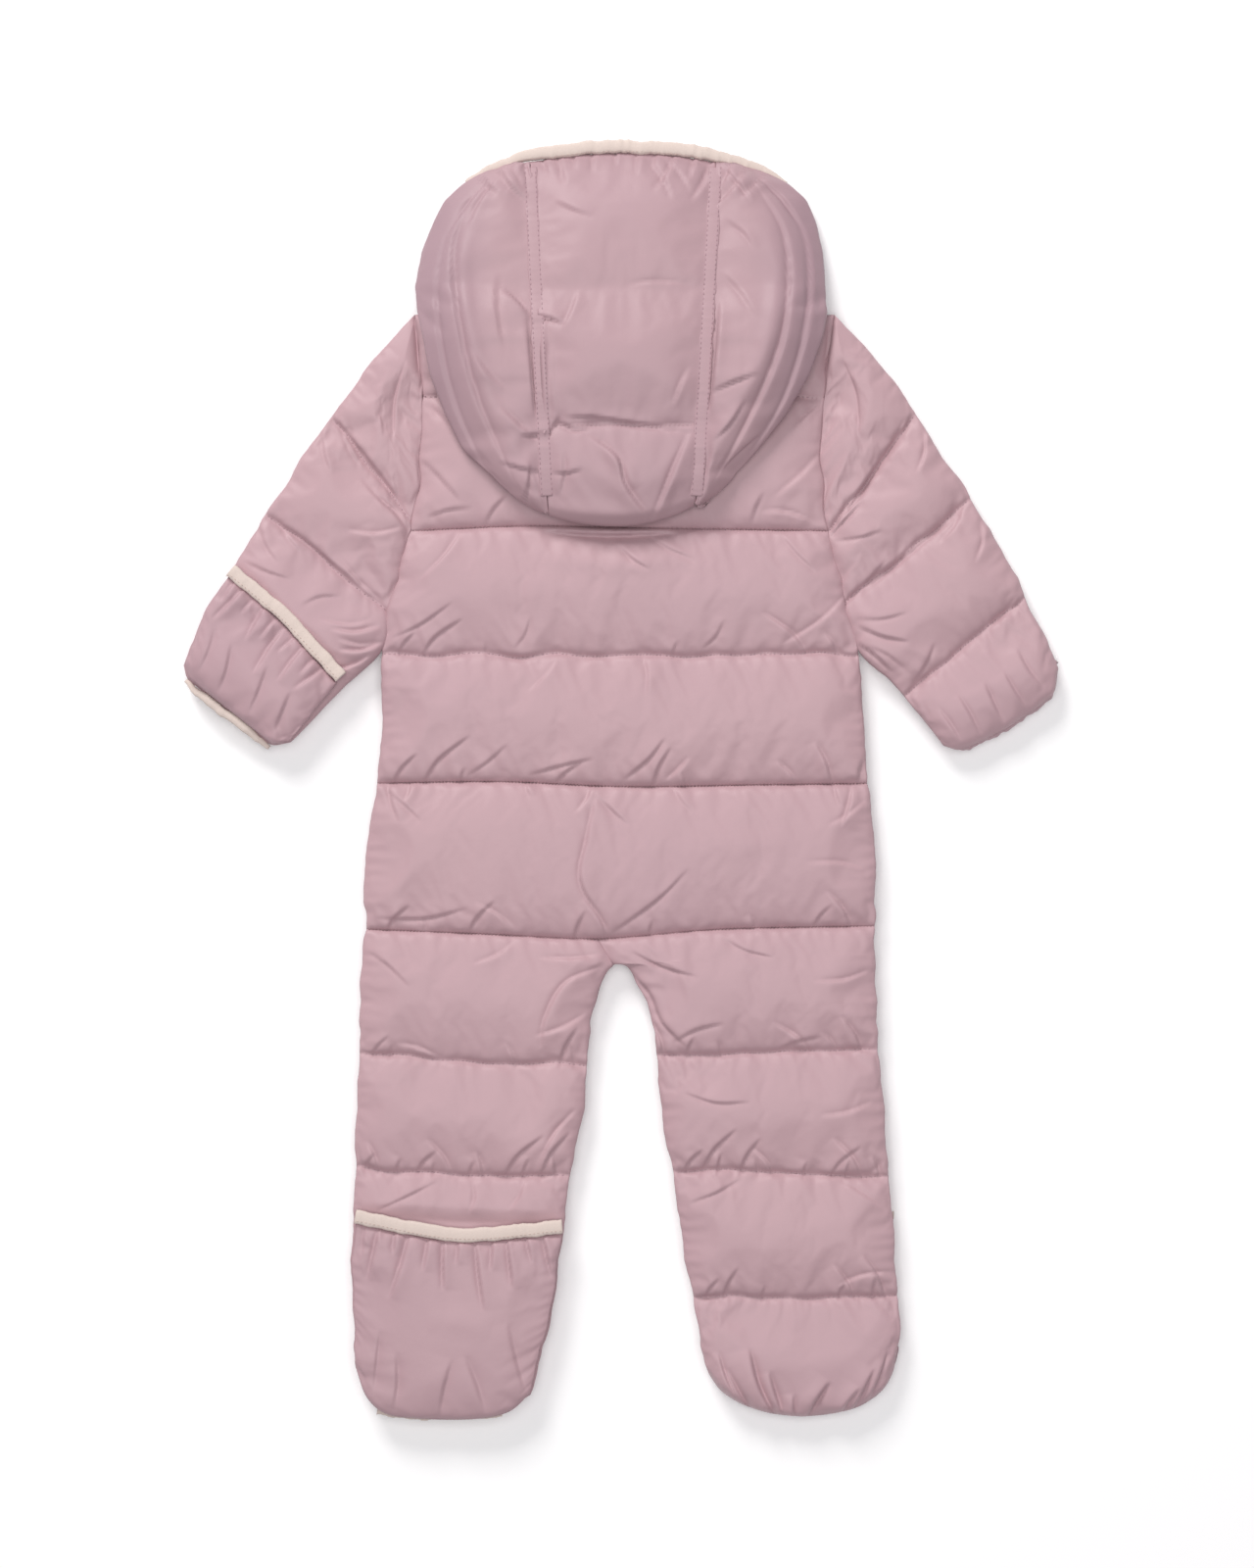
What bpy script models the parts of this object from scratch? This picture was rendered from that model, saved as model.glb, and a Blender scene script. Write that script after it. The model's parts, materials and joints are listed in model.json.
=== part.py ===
"""Padded baby snowsuit, laid flat with its back up: quilted walls of wadding between two cloths.

Tables are in millimetres, x across the suit, y towards the hood and z up from the surface it lies on.
The left of the tables is the wearer's left. Two pieces meet at a seam GAP apart, and two layers LAYER apart.
"""

import math

import bmesh
import bpy
from mathutils import Vector

MM = 0.001

# Driving dimensions
GAP = 0.3
LAYER = 0.4
FRONT_CREST = 10.8  # thickness of a front at its fullest
BACK_CREST = 11.8  # thickness of a back at its fullest
YOKE_CREST = 9.8  # the yoke is pressed by the hood
SEAM_HEIGHT = 3.2  # thickness left at a sewn edge
QUILT_HEIGHT = 4.2  # thickness left at a quilting line
PUFF_REACH = 30.0  # a back panel is full at this distance from its seams
FRONT_REACH = 14.0  # a front is pressed flat by what lies on it, so it is full sooner
RIM_STEPS = (5.0, 11.0)  # widths of the two rings of faces inside a panel's seams
PUFF_STEP = 13.0  # from a quilting line to the next edge loop beside it
PRESSED_HEIGHT = 5.6  # a sleeve or leg under its folded cover
PRESS_MARGIN = 9.0  # how far past its cover's mouth a limb is still pressed
COVER_CREST = 9.0  # thickness of a folded-back cover
UNDER_COVER_CREST = 5.2  # thickness of a cover turned under the front
COVER_END = 6.0  # thickness of a turned cover round the end of the limb
COVER_CURL = 7.0  # how far the turned cover's mouth lifts off the surface
BINDING_WIDTH = 7.0
BINDING_HEIGHT = 3.6
TURNED_BINDING_WIDTH = 5.0
TURNED_BINDING_HEIGHT = 3.8
BRIM_BINDING = {"low": 3.5, "height": 8.0, "width": 8.0, "taper": 0.55}
FACE_BINDING = {"low": 0.8, "height": 5.0, "width": 5.6}
HEM_LOW = 7.4  # the flattened hem of a left limb, from its lowest level
HEM_HIGH = 14.6  # to its highest
HEM_WALL = 3.4
HEM_SLIT = 0.7  # half the height of the opening left in a hem
BAND_WIDTH = 8.0
BAND_HEIGHT = 2.0
HOOD_WALL = 9.4  # thickness of the hood's upper layer
HOOD_UNDER_WALL = 6.8  # thickness of the hood's lower layer
HOOD_HOLLOW = 1.4  # between the hood's two layers
HOOD_CROWN = 4.5  # how far the hood's panels puff above their seams
ZIP_EDGE = 10.8  # half the space between the two fronts
CHAIN_HALF = 2.6
TAPE_HALF = 0.4
PULL_LENGTH = 26.0
ZIP_BOTTOM = -82.0
ZIP_TOP = 236.0

# Levels of the flat layers
FRONT_FACE = FRONT_CREST
BACK_FACE = FRONT_FACE + LAYER
COVER_FACE = BACK_FACE + PRESSED_HEIGHT + LAYER
UNDER_COVER_FACE = UNDER_COVER_CREST
HOOD_FACE = BACK_FACE + YOKE_CREST + LAYER

CLOTH = (0.62, 0.40, 0.44)
HOOD_CLOTH = (0.58, 0.38, 0.42)
COVER_CLOTH = (0.54, 0.35, 0.39)
CREAM = (0.71, 0.60, 0.53)
TAPE = (0.60, 0.42, 0.44)
METAL = (0.62, 0.60, 0.58)

# Seams and edges, each a short run of points (x, y)
NECK_BACK = [(-60, 283), (-32, 276), (0, 273), (32, 276), (60, 283)]
ARMHOLE_LEFT = [(-127, 284), (-123, 240), (-124, 190), (-130, 152), (-139, 118), (-147, 80)]
ARMHOLE_RIGHT = [(129, 284), (123, 240), (121, 190), (125, 152), (133, 118), (143, 80)]
YOKE_SEAM = [(-130, 152), (-60, 155), (0, 154), (60, 153), (125, 152)]
SIDE_LEFT = [(-147, 80), (-146, 35), (-150, -2)]
SIDE_RIGHT = [(143, 80), (146, 35), (149, -2)]
WAIST_SEAM = [(-150, -2), (-75, -1), (0, -4), (75, -3), (149, -2)]
HIP_LEFT = [(-150, -2), (-156, -50), (-157.5, -91)]
HIP_RIGHT = [(149, -2), (153, -50), (152.5, -89)]
HIP_SEAM_LEFT = [(-157.5, -91), (-85, -94), (-15, -97)]
HIP_SEAM_RIGHT = [(-15, -97), (59, -91), (152.5, -89)]
CROTCH_SEAM = [(-15, -97), (-10, -116)]
LEG_OUT_LEFT = [(-157.5, -91), (-160, -155), (-163, -236), (-164.5, -300), (-163, -357)]
LEG_OUT_RIGHT = [(152.5, -89), (155, -160), (161, -236), (167, -315), (165, -350)]
LEG_IN_LEFT = [(-10, -116), (-20, -146), (-25, -200), (-33, -242), (-43, -316), (-56, -375)]
LEG_IN_RIGHT = [(-10, -116), (0, -112), (18, -146), (24, -200), (31, -242), (43, -316), (53, -360)]
ANKLE_LEFT = [(-163, -357), (-149, -382), (-110, -386), (-74, -384), (-56, -375)]
ANKLE_RIGHT = [(165, -350), (156, -367), (140, -379), (110, -383.5), (79, -378), (53, -360)]
SLEEVE_TOP_LEFT = [(-127, 284), (-157, 250), (-200, 190), (-230, 142), (-259, 94), (-268, 70)]
SLEEVE_TOP_RIGHT = [(129, 284), (160, 250), (200, 190), (230, 142), (254, 94), (262, 68)]
SLEEVE_LOW_LEFT = [(-147, 80), (-169, 58), (-203, 23)]
SLEEVE_LOW_RIGHT = [(143, 80), (166, 58), (198, 26)]
CUFF_LEFT = [(-268, 70), (-266, 62), (-216, 22), (-203, 23)]
CUFF_RIGHT = [(262, 68), (257, 56), (231, 37), (208, 26), (198, 26)]
NECK_FRONT_LEFT = [(-ZIP_EDGE, 238), (-28, 245), (-48, 262), (-60, 284)]
NECK_FRONT_RIGHT = [(ZIP_EDGE, 238), (28, 245), (48, 262), (60, 284)]
CENTRE_LEFT = [(-10, -116), (0, -112), (0, -86), (-ZIP_EDGE, -84), (-ZIP_EDGE, 238)]
CENTRE_RIGHT = [(0, -112), (0, -86), (ZIP_EDGE, -84), (ZIP_EDGE, 238)]
MITTEN_MOUTH = [(-239, 127), (-206, 99), (-172, 62)]
FOOT_MOUTH = [(-163, -266), (-100, -277), (-37, -272)]
BRIM = [
    (-99, 365),
    (-84, 374.5),
    (-62, 381),
    (-32, 385),
    (0, 386.5),
    (34, 385),
    (63, 381),
    (88, 374),
    (103, 364),
]
YOKE_END = 152  # the armholes' point (y) where the yoke seam meets them
CUFF_HEM = ((-266.3, 60.2), (-213.5, 18), 5.0)  # two ends and depth
ANKLE_HEM = ((-147, -386.5), (-74, -386.5), 4.0)
LEG_PRESS = ((40, -262), (170, -262))  # a front is held down past this line by the cover turned under it
SLEEVE_PRESS = ((168, 56), (240, 119))

# The covers turned over the right hand and foot: the end of each, and its mouth under the front
MITTEN_TURNED = [
    ((269.4, 70), (240, 119)),
    ((265, 51), (222, 103)),
    ((235, 29), (205, 86)),
    ((206, 15.5), (188, 70)),
    ((195, 21), (175, 57)),
]
FOOT_TURNED = [
    ((171, -352), (166, -270)),
    ((162, -373), (150, -269)),
    ((142, -387), (128, -268)),
    ((110, -390.5), (100, -268)),
    ((76, -386), (72, -269)),
    ((54, -370), (42, -271)),
]

# Quilting lines: two ends, (x, y) each
QUILTS = {
    "back_yoke": [((-123, 234), (-108, 234)), ((107, 234), (123, 234))],
    "back_body": [((-146, 77), (143, 77))],
    "back_seat": [],
    "back_leg_left": [((-161, -167), (-23, -174)), ((-163, -236), (-33, -241))],
    "back_leg_right": [((20, -168), (156, -164)), ((31, -238), (162, -241)), ((43, -315), (168, -314))],
    "sleeve_left_back": [((-178, 222), (-128, 158)), ((-218, 163), (-142, 100))],
    "sleeve_right_back": [((176, 221), (126, 152)), ((214, 172), (134, 105)), ((246, 112), (173, 52))],
    "front_left": [
        ((-150, 77), (-5, 77)),
        ((-152, -2), (0, -2)),
        ((-158, -91), (0, -96)),
        ((-164, -236), (-30, -240)),
    ],
    "front_right": [
        ((5, 77), (146, 77)),
        ((0, -2), (150, -2)),
        ((0, -94), (154, -89)),
        ((30, -240), (163, -238)),
    ],
    "sleeve_left_front": [((-178, 222), (-128, 158)), ((-218, 163), (-142, 100))],
    "sleeve_right_front": [((176, 221), (126, 152)), ((214, 172), (134, 105))],
}

# The largest folds: the two ends of each, how deep it lies and how far it spreads
FOLDS = {
    "back_body": [((-60, 20), (-20, 60), 2.0, 12), ((55, 130), (95, 100), 1.8, 12)],
    "back_seat": [((-40, -20), (-12, -85), 2.4, 12), ((70, -25), (40, -80), 2.0, 12)],
    "back_leg_left": [((-14, -118), (-70, -140), 3.0, 12), ((-60, -200), (-40, -225), 2.2, 10)],
    "back_leg_right": [((5, -116), (37, -162), 3.6, 12), ((80, -110), (120, -150), 2.0, 12)],
    "foot_left": [((-120, -280), (-112, -320), 2.0, 8), ((-78, -280), (-84, -312), 2.0, 8)],
}

# The hood, a row for each section across it: outline left and right, the height of the seams, the lowest level
# of the lower layer, and how near to the middle the lower layer reaches
HOOD_COLUMNS = ("y", "left", "right", "top", "under", "reach")
# The hood's two seams are straight: y and x of both ends of each
HOOD_SEAMS = {"left": ((171, -49.5), (372, -57.0)), "right": ((171, 46.5), (372, 54.5))}
HOOD_ROWS = [
    (171, -63, 56, 31.0, 22.0, 51),
    (182, -78, 66, 32.5, 21.6, 51),
    (200, -97, 82, 35.5, 21.5, 51),
    (222, -108, 99, 36.5, 21.5, 52),
    (245, -117, 113, 37.0, 21.5, 53),
    (268, -122, 122, 36.5, 21.6, 55),
    (283, -126, 125, 33.5, 17.5, 56),
    (291, -127, 125, 30.0, 9.0, 50),
    (300, -126.5, 124, 26.5, 0.4, 50),
    (322, -123, 122, 21.0, 0.0, 60),
    (340, -116, 118, 18.5, 0.0, 68),
    (354, -105, 107, 16.5, 0.0, 74),
    (365, -89, 92, 14.5, 0.4, 74),
    (371.5, -73, 73, 12.2, 1.6, 64),
    (375.5, -62.5, 63.5, 10.8, 2.2, 57),
]
HOOD_QUILTS = (298, 216)
HOOD_CENTRE_STATIONS = (381, 374, 360, 342, 322, 307, 298, 289, 270, 246, 226, 216, 206, 190, 173, 163)
HOOD_FOLD = 156.0
HOOD_NECK = 268.0
HOOD_FLANGE = 5.2

INSET = {"use_even_offset": True, "use_boundary": True}


def clear_scene():
    for item in list(bpy.data.objects):
        bpy.data.objects.remove(item, do_unlink=True)


def finish_object(name, bm, colour, roughness=0.6, metallic=0.0):
    """Turns a bmesh in millimetres into a named object in metres with its own material."""
    bm.normal_update()
    bmesh.ops.triangulate(bm, faces=bm.faces[:])
    bmesh.ops.recalc_face_normals(bm, faces=bm.faces[:])
    bmesh.ops.scale(bm, vec=(MM, MM, MM), verts=bm.verts[:])
    mesh = bpy.data.meshes.new(name)
    bm.to_mesh(mesh)
    bm.free()
    item = bpy.data.objects.new(name, mesh)
    bpy.context.scene.collection.objects.link(item)
    return painted(item, colour, roughness, metallic)


def painted(item, colour, roughness, metallic):
    """Gives an object its own material."""
    material = bpy.data.materials.new(item.name)
    material.use_nodes = True
    shader = material.node_tree.nodes["Principled BSDF"]
    shader.inputs["Base Color"].default_value = (*colour, 1)
    shader.inputs["Roughness"].default_value = roughness
    shader.inputs["Metallic"].default_value = metallic
    item.data.materials.append(material)
    return item


def distance_to(point, a, b):
    """Distance from a point to the line from a to b, all (x, y)."""
    ax, ay = a
    dx, dy = b[0] - ax, b[1] - ay
    along = ((point[0] - ax) * dx + (point[1] - ay) * dy) / (dx * dx + dy * dy)
    along = min(max(along, 0.0), 1.0)
    return math.hypot(point[0] - ax - along * dx, point[1] - ay - along * dy)


def swell(distance, low, crest, reach=PUFF_REACH):
    """Thickness of padding at a distance from a line of stitching that leaves it low."""
    share = min(distance / reach, 1.0)
    return low + (crest - low) * (1 - (1 - share) ** 2.4)


def beyond(point, a, b):
    """Signed distance from a point to the endless line through a and b, positive on its right."""
    dx, dy = b[0] - a[0], b[1] - a[1]
    return ((point[0] - a[0]) * dy - (point[1] - a[1]) * dx) / math.hypot(dx, dy)


def joined(*runs):
    """One closed outline from runs of points, with the points that two runs share taken once."""
    outline = []
    for run in runs:
        for point in run:
            if not outline or math.dist(outline[-1], point) > GAP:
                outline.append(point)
    if math.dist(outline[0], outline[-1]) <= GAP:
        outline.pop()
    return outline


def cut_along(bm, a, b, offset):
    """Adds an edge loop across the sheet along the line from a to b, moved sideways by offset."""
    side = Vector((b[1] - a[1], a[0] - b[0], 0)).normalized()
    bmesh.ops.bisect_plane(
        bm,
        geom=bm.verts[:] + bm.edges[:] + bm.faces[:],
        dist=0.05,
        plane_co=Vector((a[0], a[1], 0)) + side * offset,
        plane_no=side,
    )


def panel(name, outline, face, crest, way=1, colour=CLOTH, press=None):
    """A padded panel: flat on the side at level face, and swollen between its seams on the other side.

    way is 1 for a panel that swells up and -1 for one that swells down. press holds it down past a line:
    its two ends and the thickness left there.
    """
    bm = bmesh.new()
    sheet = bm.faces.new([bm.verts.new((x, y, 0)) for x, y in outline])
    sheet.normal_update()
    edge = bmesh.ops.inset_region(bm, faces=[sheet], thickness=GAP / 2, **INSET)
    bmesh.ops.delete(bm, geom=edge["faces"], context="FACES")
    for width in RIM_STEPS:
        bmesh.ops.inset_region(bm, faces=[sheet], thickness=width, **INSET)
        sheet.normal_update()
    quilts = QUILTS.get(name, [])
    folds = FOLDS.get(name, [])
    for a, b in quilts:
        for offset in (-PUFF_STEP, 0, PUFF_STEP):
            cut_along(bm, a, b, offset)
    for a, b, _, _ in folds:
        cut_along(bm, a, b, 0)
    if press:
        for offset in (PRESS_MARGIN, PRESS_MARGIN + PUFF_STEP):
            cut_along(bm, press[0], press[1], -offset)
    stitched = [(a, b, SEAM_HEIGHT) for a, b in zip(outline, outline[1:] + outline[:1])]
    stitched += [(a, b, QUILT_HEIGHT) for a, b in quilts]
    rim = [e for e in bm.edges if e.is_boundary]
    reach = PUFF_REACH if way > 0 else FRONT_REACH
    for vert in bm.verts:
        point = (vert.co.x, vert.co.y)
        height = min(swell(distance_to(point, a, b), low, crest, reach) for a, b, low in stitched)
        for a, b, deep, spread in folds:
            height -= deep * max(0.0, 1 - distance_to(point, a, b) / spread)
        if press:
            past = beyond(point, press[0], press[1]) + PRESS_MARGIN
            height = min(height, swell(max(0.0, -past), press[2], crest))
        vert.co.z = face + way * max(height, SEAM_HEIGHT - GAP)
    wall = bmesh.ops.extrude_edge_only(bm, edges=rim)["geom"]
    for vert in (v for v in wall if isinstance(v, bmesh.types.BMVert)):
        vert.co.z = face
    bmesh.ops.contextual_create(bm, geom=[e for e in bm.edges if e.is_boundary])
    return finish_object(name, bm, colour)


def loft(name, sections, colour, roughness=0.6, metallic=0.0):
    """A closed solid through closed sections of equally many points (x, y, z)."""
    bm = bmesh.new()
    rings = [[bm.verts.new(point) for point in section] for section in sections]
    count = len(rings[0])
    for here, there in zip(rings, rings[1:]):
        for i in range(count):
            j = (i + 1) % count
            bm.faces.new((here[i], here[j], there[j], there[i]))
    bm.faces.new(rings[0])
    bm.faces.new(rings[-1])
    return finish_object(name, bm, colour, roughness, metallic)


def across(path, i):
    """Unit direction (x, y) across a path at its point i."""
    before = path[max(i - 1, 0)]
    after = path[min(i + 1, len(path) - 1)]
    length = math.dist(before, after)
    return (after[1] - before[1]) / length, (before[0] - after[0]) / length


def binding(name, path, low, height, width=BINDING_WIDTH, taper=1.0, colour=CREAM):
    """A folded strip of elastic along a path, with rounded upper edges. taper narrows its two ends."""
    sections = []
    for i, (x, y) in enumerate(path):
        sx, sy = across(path, i)
        share = math.sin(math.pi * i / (len(path) - 1))
        half = width / 2 * (taper + (1 - taper) * share)
        base = low[i] if isinstance(low, list) else low
        profile = ((-1, 0), (1, 0), (1, 0.55), (0.55, 1), (-0.55, 1), (-1, 0.55))
        sections.append([(x + sx * half * u, y + sy * half * u, base + height * v) for u, v in profile])
    return loft(name, sections, colour)


def hem_ring(name, a, b, depth, low, high):
    """A flattened ring of elastic round the open end of a limb, from a to b, with its opening kept."""
    wall, slit = HEM_WALL, HEM_SLIT
    middle = (low + high) / 2
    dx, dy = (b[0] - a[0]) / math.dist(a, b), (b[1] - a[1]) / math.dist(a, b)
    nx, ny = dy * depth, -dx * depth
    length = math.dist(a, b)
    outer = [(0, middle), (2, low), (length - 2, low), (length, middle), (length - 2, high), (2, high)]
    inner = [
        (wall, middle),
        (wall + 1, middle - slit),
        (length - wall - 1, middle - slit),
        (length - wall, middle),
        (length - wall - 1, middle + slit),
        (wall + 1, middle + slit),
    ]
    bm = bmesh.new()
    loops = {}
    for label, shape in (("outer", outer), ("inner", inner)):
        for end, (ex, ey) in (("near", (0, 0)), ("far", (nx, ny))):
            loops[label, end] = [bm.verts.new((a[0] + dx * s + ex, a[1] + dy * s + ey, z)) for s, z in shape]
    pairs = (
        (("outer", "near"), ("outer", "far")),
        (("inner", "near"), ("inner", "far")),
        (("outer", "near"), ("inner", "near")),
        (("outer", "far"), ("inner", "far")),
    )
    for first, second in pairs:
        here, there = loops[first], loops[second]
        for i in range(len(here)):
            j = (i + 1) % len(here)
            bm.faces.new((here[i], here[j], there[j], there[i]))
    return finish_object(name, bm, CREAM)


def turned_cover(name, rows):
    """A cover turned over the end of a limb and lying under its front: an L-section at each point."""
    face = UNDER_COVER_FACE
    rim = BACK_FACE + SEAM_HEIGHT + 0.8
    sections = []
    for end, mouth in rows:
        (x, y), length = end, math.dist(end, mouth)
        ux, uy = (mouth[0] - x) / length, (mouth[1] - y) / length
        profile = (
            (length, 1.2),
            (length - COVER_CURL, 0),
            (9, 0),
            (1.6, 2.4),
            (0, 7.5),
            (1.2, rim - 1.6),
            (3.4, rim),
            (COVER_END - GAP, rim - 1.2),
            (COVER_END - GAP, face),
            (length - COVER_CURL, face),
            (length, face - 0.8),
        )
        sections.append([(x + ux * s, y + uy * s, z) for s, z in profile])
    return loft(name, sections, COVER_CLOTH)


def back_and_front():
    """The flat panels of the body and legs: five that show and the two plain fronts under them."""
    armhole_yoke_left = [p for p in ARMHOLE_LEFT if p[1] >= YOKE_END]
    armhole_yoke_right = [p for p in ARMHOLE_RIGHT if p[1] >= YOKE_END]
    armhole_body_left = [p for p in ARMHOLE_LEFT if p[1] <= YOKE_END]
    armhole_body_right = [p for p in ARMHOLE_RIGHT if p[1] <= YOKE_END]
    yoke = joined(armhole_yoke_left, YOKE_SEAM, armhole_yoke_right[::-1], NECK_BACK[::-1])
    panel("back_yoke", yoke, BACK_FACE, YOKE_CREST)
    right_side = joined(SIDE_RIGHT[::-1], armhole_body_right[::-1])
    body = joined(armhole_body_left, SIDE_LEFT, WAIST_SEAM, right_side, YOKE_SEAM[::-1])
    panel("back_body", body, BACK_FACE, BACK_CREST)
    seat = joined(HIP_LEFT, HIP_SEAM_LEFT, HIP_SEAM_RIGHT, HIP_RIGHT[::-1], WAIST_SEAM[::-1])
    panel("back_seat", seat, BACK_FACE, BACK_CREST)
    leg_left = joined(LEG_OUT_LEFT, ANKLE_LEFT, LEG_IN_LEFT[::-1], CROTCH_SEAM[::-1], HIP_SEAM_LEFT[::-1])
    hold = (FOOT_MOUTH[0], FOOT_MOUTH[-1], PRESSED_HEIGHT)
    panel("back_leg_left", leg_left, BACK_FACE, BACK_CREST, press=hold)
    leg_right = joined(LEG_OUT_RIGHT, ANKLE_RIGHT, LEG_IN_RIGHT[::-1], CROTCH_SEAM[::-1], HIP_SEAM_RIGHT)
    panel("back_leg_right", leg_right, BACK_FACE, BACK_CREST)
    front_left = joined(
        NECK_FRONT_LEFT,
        ARMHOLE_LEFT,
        SIDE_LEFT,
        HIP_LEFT,
        LEG_OUT_LEFT,
        ANKLE_LEFT,
        LEG_IN_LEFT[::-1],
        CENTRE_LEFT,
    )
    panel("front_left", front_left, FRONT_FACE, FRONT_CREST, way=-1)
    front_right = joined(
        NECK_FRONT_RIGHT,
        ARMHOLE_RIGHT,
        SIDE_RIGHT,
        HIP_RIGHT,
        LEG_OUT_RIGHT,
        ANKLE_RIGHT,
        LEG_IN_RIGHT[:0:-1],
        CENTRE_RIGHT,
    )
    under = FRONT_FACE - UNDER_COVER_FACE - LAYER
    panel("front_right", front_right, FRONT_FACE, FRONT_CREST, way=-1, press=(*LEG_PRESS, under))


def sleeves():
    """Each sleeve is a back half on a front half, open at the armhole and at the cuff."""
    left = joined(ARMHOLE_LEFT, SLEEVE_LOW_LEFT, CUFF_LEFT[::-1], SLEEVE_TOP_LEFT[::-1])
    right = joined(ARMHOLE_RIGHT, SLEEVE_LOW_RIGHT, CUFF_RIGHT[::-1], SLEEVE_TOP_RIGHT[::-1])
    hold = (MITTEN_MOUTH[0], MITTEN_MOUTH[-1], PRESSED_HEIGHT)
    panel("sleeve_left_back", left, BACK_FACE, BACK_CREST, press=hold)
    panel("sleeve_left_front", left, FRONT_FACE, FRONT_CREST, way=-1)
    panel("sleeve_right_back", right, BACK_FACE, BACK_CREST)
    under = FRONT_FACE - UNDER_COVER_FACE - LAYER
    panel("sleeve_right_front", right, FRONT_FACE, FRONT_CREST, way=-1, press=(*SLEEVE_PRESS, under))


def covers():
    """The hand and foot covers with their bindings: the left ones lie folded back, the right ones are on."""
    inner = [(x - 2.4, y - 3.0) for x, y in MITTEN_MOUTH]
    mitten = joined(inner, [(-203, 24), (-214, 22), (-265, 62), (-267, 70), (-257, 96)])
    panel("mitten_left", mitten, COVER_FACE, COVER_CREST, colour=COVER_CLOTH)
    binding("mitten_left_binding", [(x + 0.2, y + 1.0) for x, y in MITTEN_MOUTH], COVER_FACE, BINDING_HEIGHT)
    hem_ring("cuff_left_binding", *CUFF_HEM, HEM_LOW, HEM_HIGH)
    lower = [(x, y - 4.2) for x, y in FOOT_MOUTH]
    foot = joined(lower, [(-43, -316), (-57, -375), (-76, -386), (-110, -389), (-148, -385), (-162, -357)])
    panel("foot_left", foot, COVER_FACE, COVER_CREST, colour=COVER_CLOTH)
    binding("foot_left_binding", [(x, y - 0.2) for x, y in FOOT_MOUTH], COVER_FACE, BINDING_HEIGHT)
    hem_ring("ankle_left_binding", *ANKLE_HEM, HEM_LOW, HEM_HIGH)
    for name, rows in (("mitten_right", MITTEN_TURNED), ("foot_right", FOOT_TURNED)):
        turned_cover(name, rows)
        path = []
        for end, mouth in rows:
            share = 1 + (TURNED_BINDING_WIDTH / 2 + LAYER) / math.dist(end, mouth)
            path.append((end[0] + (mouth[0] - end[0]) * share, end[1] + (mouth[1] - end[1]) * share))
        binding(name + "_binding", path, 1.0, TURNED_BINDING_HEIGHT, width=TURNED_BINDING_WIDTH)


def hood_value(column, y):
    """A column of the hood's table at any y."""
    k = HOOD_COLUMNS.index(column)
    for low, high in zip(HOOD_ROWS, HOOD_ROWS[1:]):
        if y <= high[0]:
            break
    share = (y - low[0]) / (high[0] - low[0])
    share = min(max(share, -0.6), 1.6)
    return low[k] + (high[k] - low[k]) * share


def hood_seam(side, y):
    """Where a seam of the hood runs at y."""
    (y0, x0), (y1, x1) = HOOD_SEAMS[side]
    return x0 + (x1 - x0) * (y - y0) / (y1 - y0)


def hood_walls(y):
    """Thickness of the hood's upper and lower layers at y."""
    room = hood_value("top", y) - hood_value("under", y) - HOOD_HOLLOW
    return min(HOOD_WALL, room * 0.58), min(HOOD_UNDER_WALL, room * 0.42)


def channel_puff(y):
    """How full the middle of the hood is between its quilting lines, from 0 to 1."""
    nearest = min(abs(y - line) for line in HOOD_QUILTS)
    brim = max(0.0, 384 - y) / 14
    return min(1.0, (nearest / 16) ** 0.6, brim)


def hood_centre():
    """The middle panel: from the brim down to a fold over the yoke, and back under to the neck seam."""
    sections = []
    edge = GAP / 2
    left_steps = [(edge, 0.0), (HOOD_FLANGE, 0.0), (16, 0.8)]
    right_steps = [(-step, fullness) for step, fullness in reversed(left_steps)]
    for step, fullness in left_steps + [(None, 1.0)] + right_steps:

        def place(y, z, step=step):
            left, right = hood_seam("left", y), hood_seam("right", y)
            x = (left + right) / 2 if step is None else (left + step if step > 0 else right + step)
            bow = 3.8 * (x / 55) ** 2 * max(0.0, (y - 340) / 42)
            return (x, y - bow, z)

        upper = []
        inner = []
        for y in HOOD_CENTRE_STATIONS:
            top = hood_value("top", y) - HOOD_FLANGE / 2
            upper.append(place(y, top + HOOD_CROWN * 1.6 * fullness * channel_puff(y)))
            if y > 185 and y not in HOOD_QUILTS:
                inner.append(place(y, min(top - 3.0, hood_value("top", y) - hood_walls(y)[0])))
        fold = [place(HOOD_FOLD, 25.0), place(HOOD_FOLD + 3, 22.2)]
        lower = [place(y, HOOD_FACE + 0.1) for y in (172, 205, 240, HOOD_NECK)]
        under_top = [place(y, HOOD_FACE + hood_walls(y)[1]) for y in (HOOD_NECK, 240, 205, 186)]
        bend = [place(HOOD_FOLD + 9, 24.9)]
        sections.append(upper + fold + lower + under_top + bend + inner[::-2])
    loft("hood_centre", sections, HOOD_CLOTH)


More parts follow.
